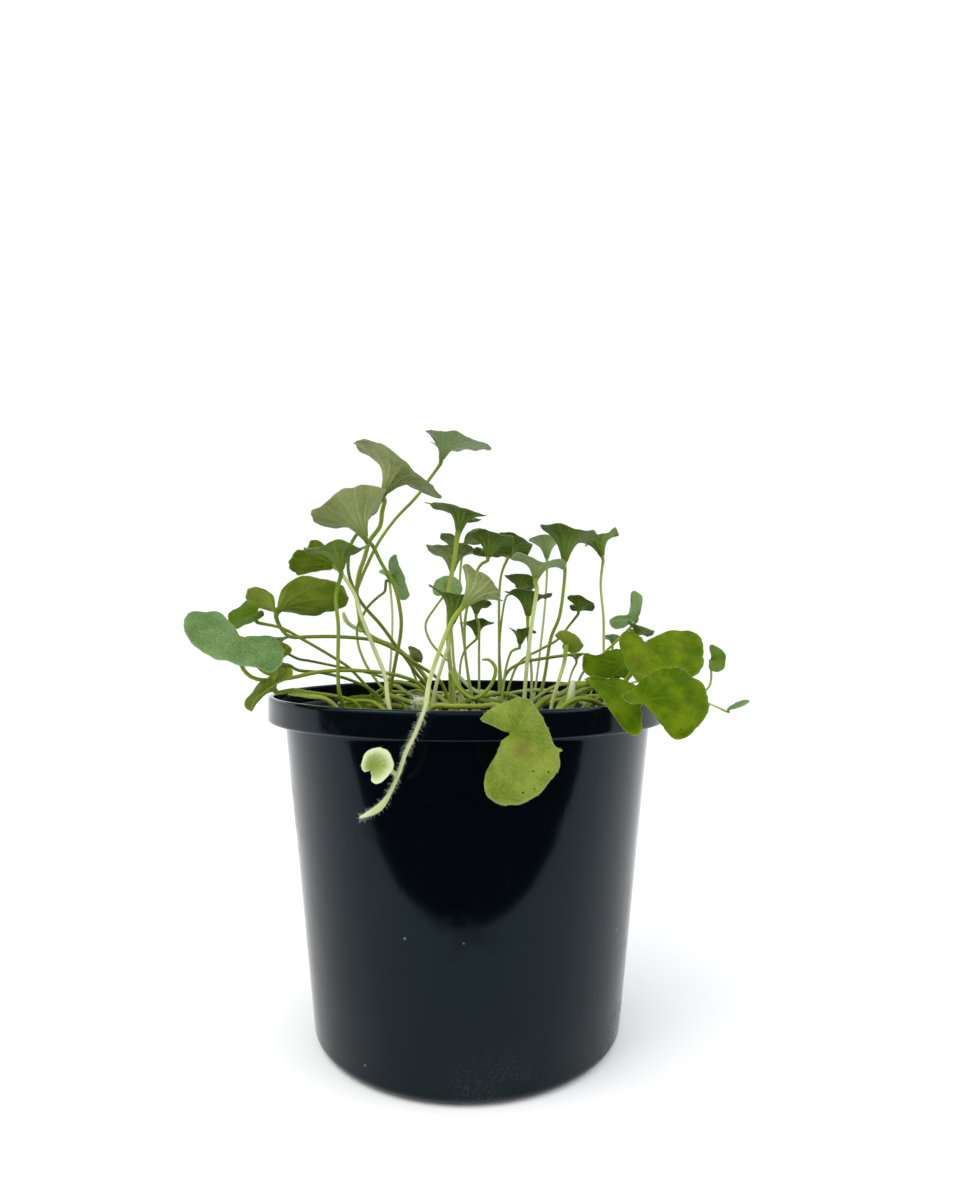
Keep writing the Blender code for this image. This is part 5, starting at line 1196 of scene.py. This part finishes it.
random.seed(7)
finishes = [
    stalk_skin(),
    blade_skin("silver_upper", (0.065, 0.14, 0.026), (0.165, 0.265, 0.08), (0.085, 0.16, 0.04),
               (0.27, 0.38, 0.2), 0.42, (0.26, 0.4, 0.04), 0.2, 0.8, veined=0.5),
    blade_skin("silver_under", (0.12, 0.2, 0.05), (0.28, 0.38, 0.15), (0.4, 0.49, 0.24),
               (0.42, 0.5, 0.3), 0.45, (0.36, 0.5, 0.08), 0.3, veined=0.6),
    blade_skin("grown_upper", (0.03, 0.075, 0.003), (0.1, 0.17, 0.018), (0.14, 0.225, 0.035),
               (0.2, 0.28, 0.09), 0.2, (0.22, 0.38, 0.01), 0.3),
    blade_skin("grown_under", (0.045, 0.095, 0.005), (0.14, 0.21, 0.03), (0.26, 0.34, 0.09),
               (0.26, 0.33, 0.12), 0.24, (0.28, 0.42, 0.015), 0.36, veined=0.6),
    blade_skin("olive_under", (0.1, 0.14, 0.022), (0.3, 0.34, 0.11), (0.46, 0.48, 0.23),
               (0.44, 0.47, 0.26), 0.4, (0.4, 0.46, 0.05), 0.3, veined=0.65),
    blade_skin("fresh_upper", (0.05, 0.115, 0.0005), (0.21, 0.28, 0.007), (0.21, 0.31, 0.009),
               (0.23, 0.31, 0.025), 0.16, (0.36, 0.48, 0.003), 0.4, 0.95, veined=0.22),
    blade_skin("fresh_under", (0.11, 0.18, 0.004), (0.28, 0.35, 0.035), (0.36, 0.43, 0.08),
               (0.36, 0.42, 0.13), 0.2, (0.4, 0.52, 0.01), 0.4, veined=0.6),
    blade_skin("dull_upper", (0.07, 0.14, 0.002), (0.26, 0.32, 0.035), (0.25, 0.34, 0.03),
               (0.36, 0.4, 0.14), 0.4, (0.36, 0.47, 0.012), 0.35, 0.9, veined=0.25),
    blade_skin("cream_blade", (0.15, 0.26, 0.025), (0.34, 0.45, 0.1), (0.5, 0.58, 0.25),
               (0.78, 0.82, 0.55), 0.3, (0.5, 0.58, 0.1), 0.35, veined=0.5, rim=(0.45, 0.95)),
]
down_skin = down_finish()
mat, mat_hair_points, mat_hair_faces = new_growth(), [], []
for points, radius, pale in OLD_RUNNERS:
    route = smooth_route([Vector(p) for p in points], STALK_STEP)
    draw_tube(mat, route, lambda run, length: radius, lambda run, length: pale)
    down_on_stalk(mat_hair_points, mat_hair_faces, route, radius, 0.55 if pale > 0.5 else 0.2)
for spray_name, spray in SPRAYS.items():
    growth = new_growth()
    hair_points, hair_faces, spotted = [], [], []
    runner = draw_runner(growth, spray_name, spray)
    down_on_stalk(hair_points, hair_faces, runner, RUNNER_RADIUS, LOOKS["runner"][3])
    for leaf in spray:
        route = draw_stalk(growth, leaf)
        down_on_stalk(hair_points, hair_faces, route, leaf.radius, LOOKS[leaf.name][3])
        if leaf.width:
            first = len(growth.points)
            upper, normals, rings = grow_blade(growth, leaf)
            spotted += [(first, len(growth.points), leaf.name)] * (leaf.name in BLEMISHES)
            down_on_blade(hair_points, hair_faces, leaf, upper, normals, rings)
    plant = finish_growth("fine_" + spray_name, growth, finishes)
    spots = plant.data.attributes["leaf_spot"]
    for first, last, name in spotted:
        for number in range(first, last):
            spots.data[number].value = spot_strength(name, growth.places[number])
    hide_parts(spray_name)
    finish_down("down_" + spray_name, hair_points, hair_faces, down_skin)
finish_growth("old_runners", mat, finishes)
finish_down("down_old_runners", mat_hair_points, mat_hair_faces, down_skin)

# The studio: a pale floor under a white sky, one large soft light above on the left and a weaker one on
# the right. A black card that only reflections see lies past the floor's front, as the dark room did.
FLOOR_SIZE = 4.0
CARD_FRONT = -0.138
CAMERA_PLACE = (0.00436, -0.2749, 0.1358)
CAMERA_TILT = 2.61
PHOTO_FOCUS = 752
PHOTO_HEIGHT = 1200
SENSOR = 36.0


def pale_floor():
    finish, tree, shader = new_finish("pale_floor")
    place = add(tree, "TexCoord").outputs["Object"]
    cloud = add(tree, "TexNoise", {"Vector": place, "Scale": 6, "Detail": 3}).outputs[0]
    colour = blend(tree, cloud, (0.95, 0.95, 0.95), (0.98, 0.98, 0.98))
    set_shader(tree, shader, Base_Color=colour, Roughness=0.8)
    return finish


def flat_sheet(name, left, right, front, back, height, finish):
    """A level rectangle in metres."""
    mesh = bpy.data.meshes.new(name)
    corners = [(left, front, height), (right, front, height), (right, back, height), (left, back, height)]
    mesh.from_pydata(corners, [], [(0, 1, 2, 3)])
    mesh.materials.append(finish)
    sheet = bpy.data.objects.new(name, mesh)
    bpy.context.scene.collection.objects.link(sheet)
    return sheet


def soft_light(name, place, size, power, colour):
    """A square soft light that looks at the middle of the plant."""
    lamp = bpy.data.lights.new(name, "AREA")
    lamp.size, lamp.energy, lamp.color = size, power, colour
    light = bpy.data.objects.new(name, lamp)
    light.location = place
    light.rotation_euler = (Vector((0, 0, 0.12)) - light.location).to_track_quat("-Z", "Y").to_euler()
    bpy.context.scene.collection.objects.link(light)


flat_sheet("floor", -FLOOR_SIZE, FLOOR_SIZE, -FLOOR_SIZE, FLOOR_SIZE, -0.0002, pale_floor())
black, black_tree, black_shader = new_finish("black_card")
set_shader(black_tree, black_shader, Base_Color=(0.002, 0.003, 0.004, 1), Roughness=1.0)
card = flat_sheet("black_card", -FLOOR_SIZE, FLOOR_SIZE, -FLOOR_SIZE, CARD_FRONT, 0.0005, black)
card.visible_camera = card.visible_diffuse = card.visible_shadow = card.visible_transmission = False

sky = bpy.data.worlds.new("white_sky")
sky.use_nodes = True
sky.node_tree.nodes["Background"].inputs["Color"].default_value = (0.97, 0.985, 1.0, 1)
sky.node_tree.nodes["Background"].inputs["Strength"].default_value = 1.08
bpy.context.scene.world = sky
soft_light("key", (-0.7, -0.5, 1.1), 0.9, 9.0, (1.0, 0.98, 0.95))
soft_light("fill", (0.9, -0.3, 0.7), 0.8, 4.0, (0.93, 0.97, 1.0))
bpy.context.scene.view_settings.view_transform = "Standard"

lens = bpy.data.cameras.new("camera")
lens.sensor_width = SENSOR
lens.lens = PHOTO_FOCUS / PHOTO_HEIGHT * SENSOR
lens.clip_start = 0.01
camera = bpy.data.objects.new("camera", lens)
camera.location = CAMERA_PLACE
camera.rotation_euler = (math.radians(90 + CAMERA_TILT), 0, 0)
bpy.context.scene.collection.objects.link(camera)
bpy.context.scene.camera = camera
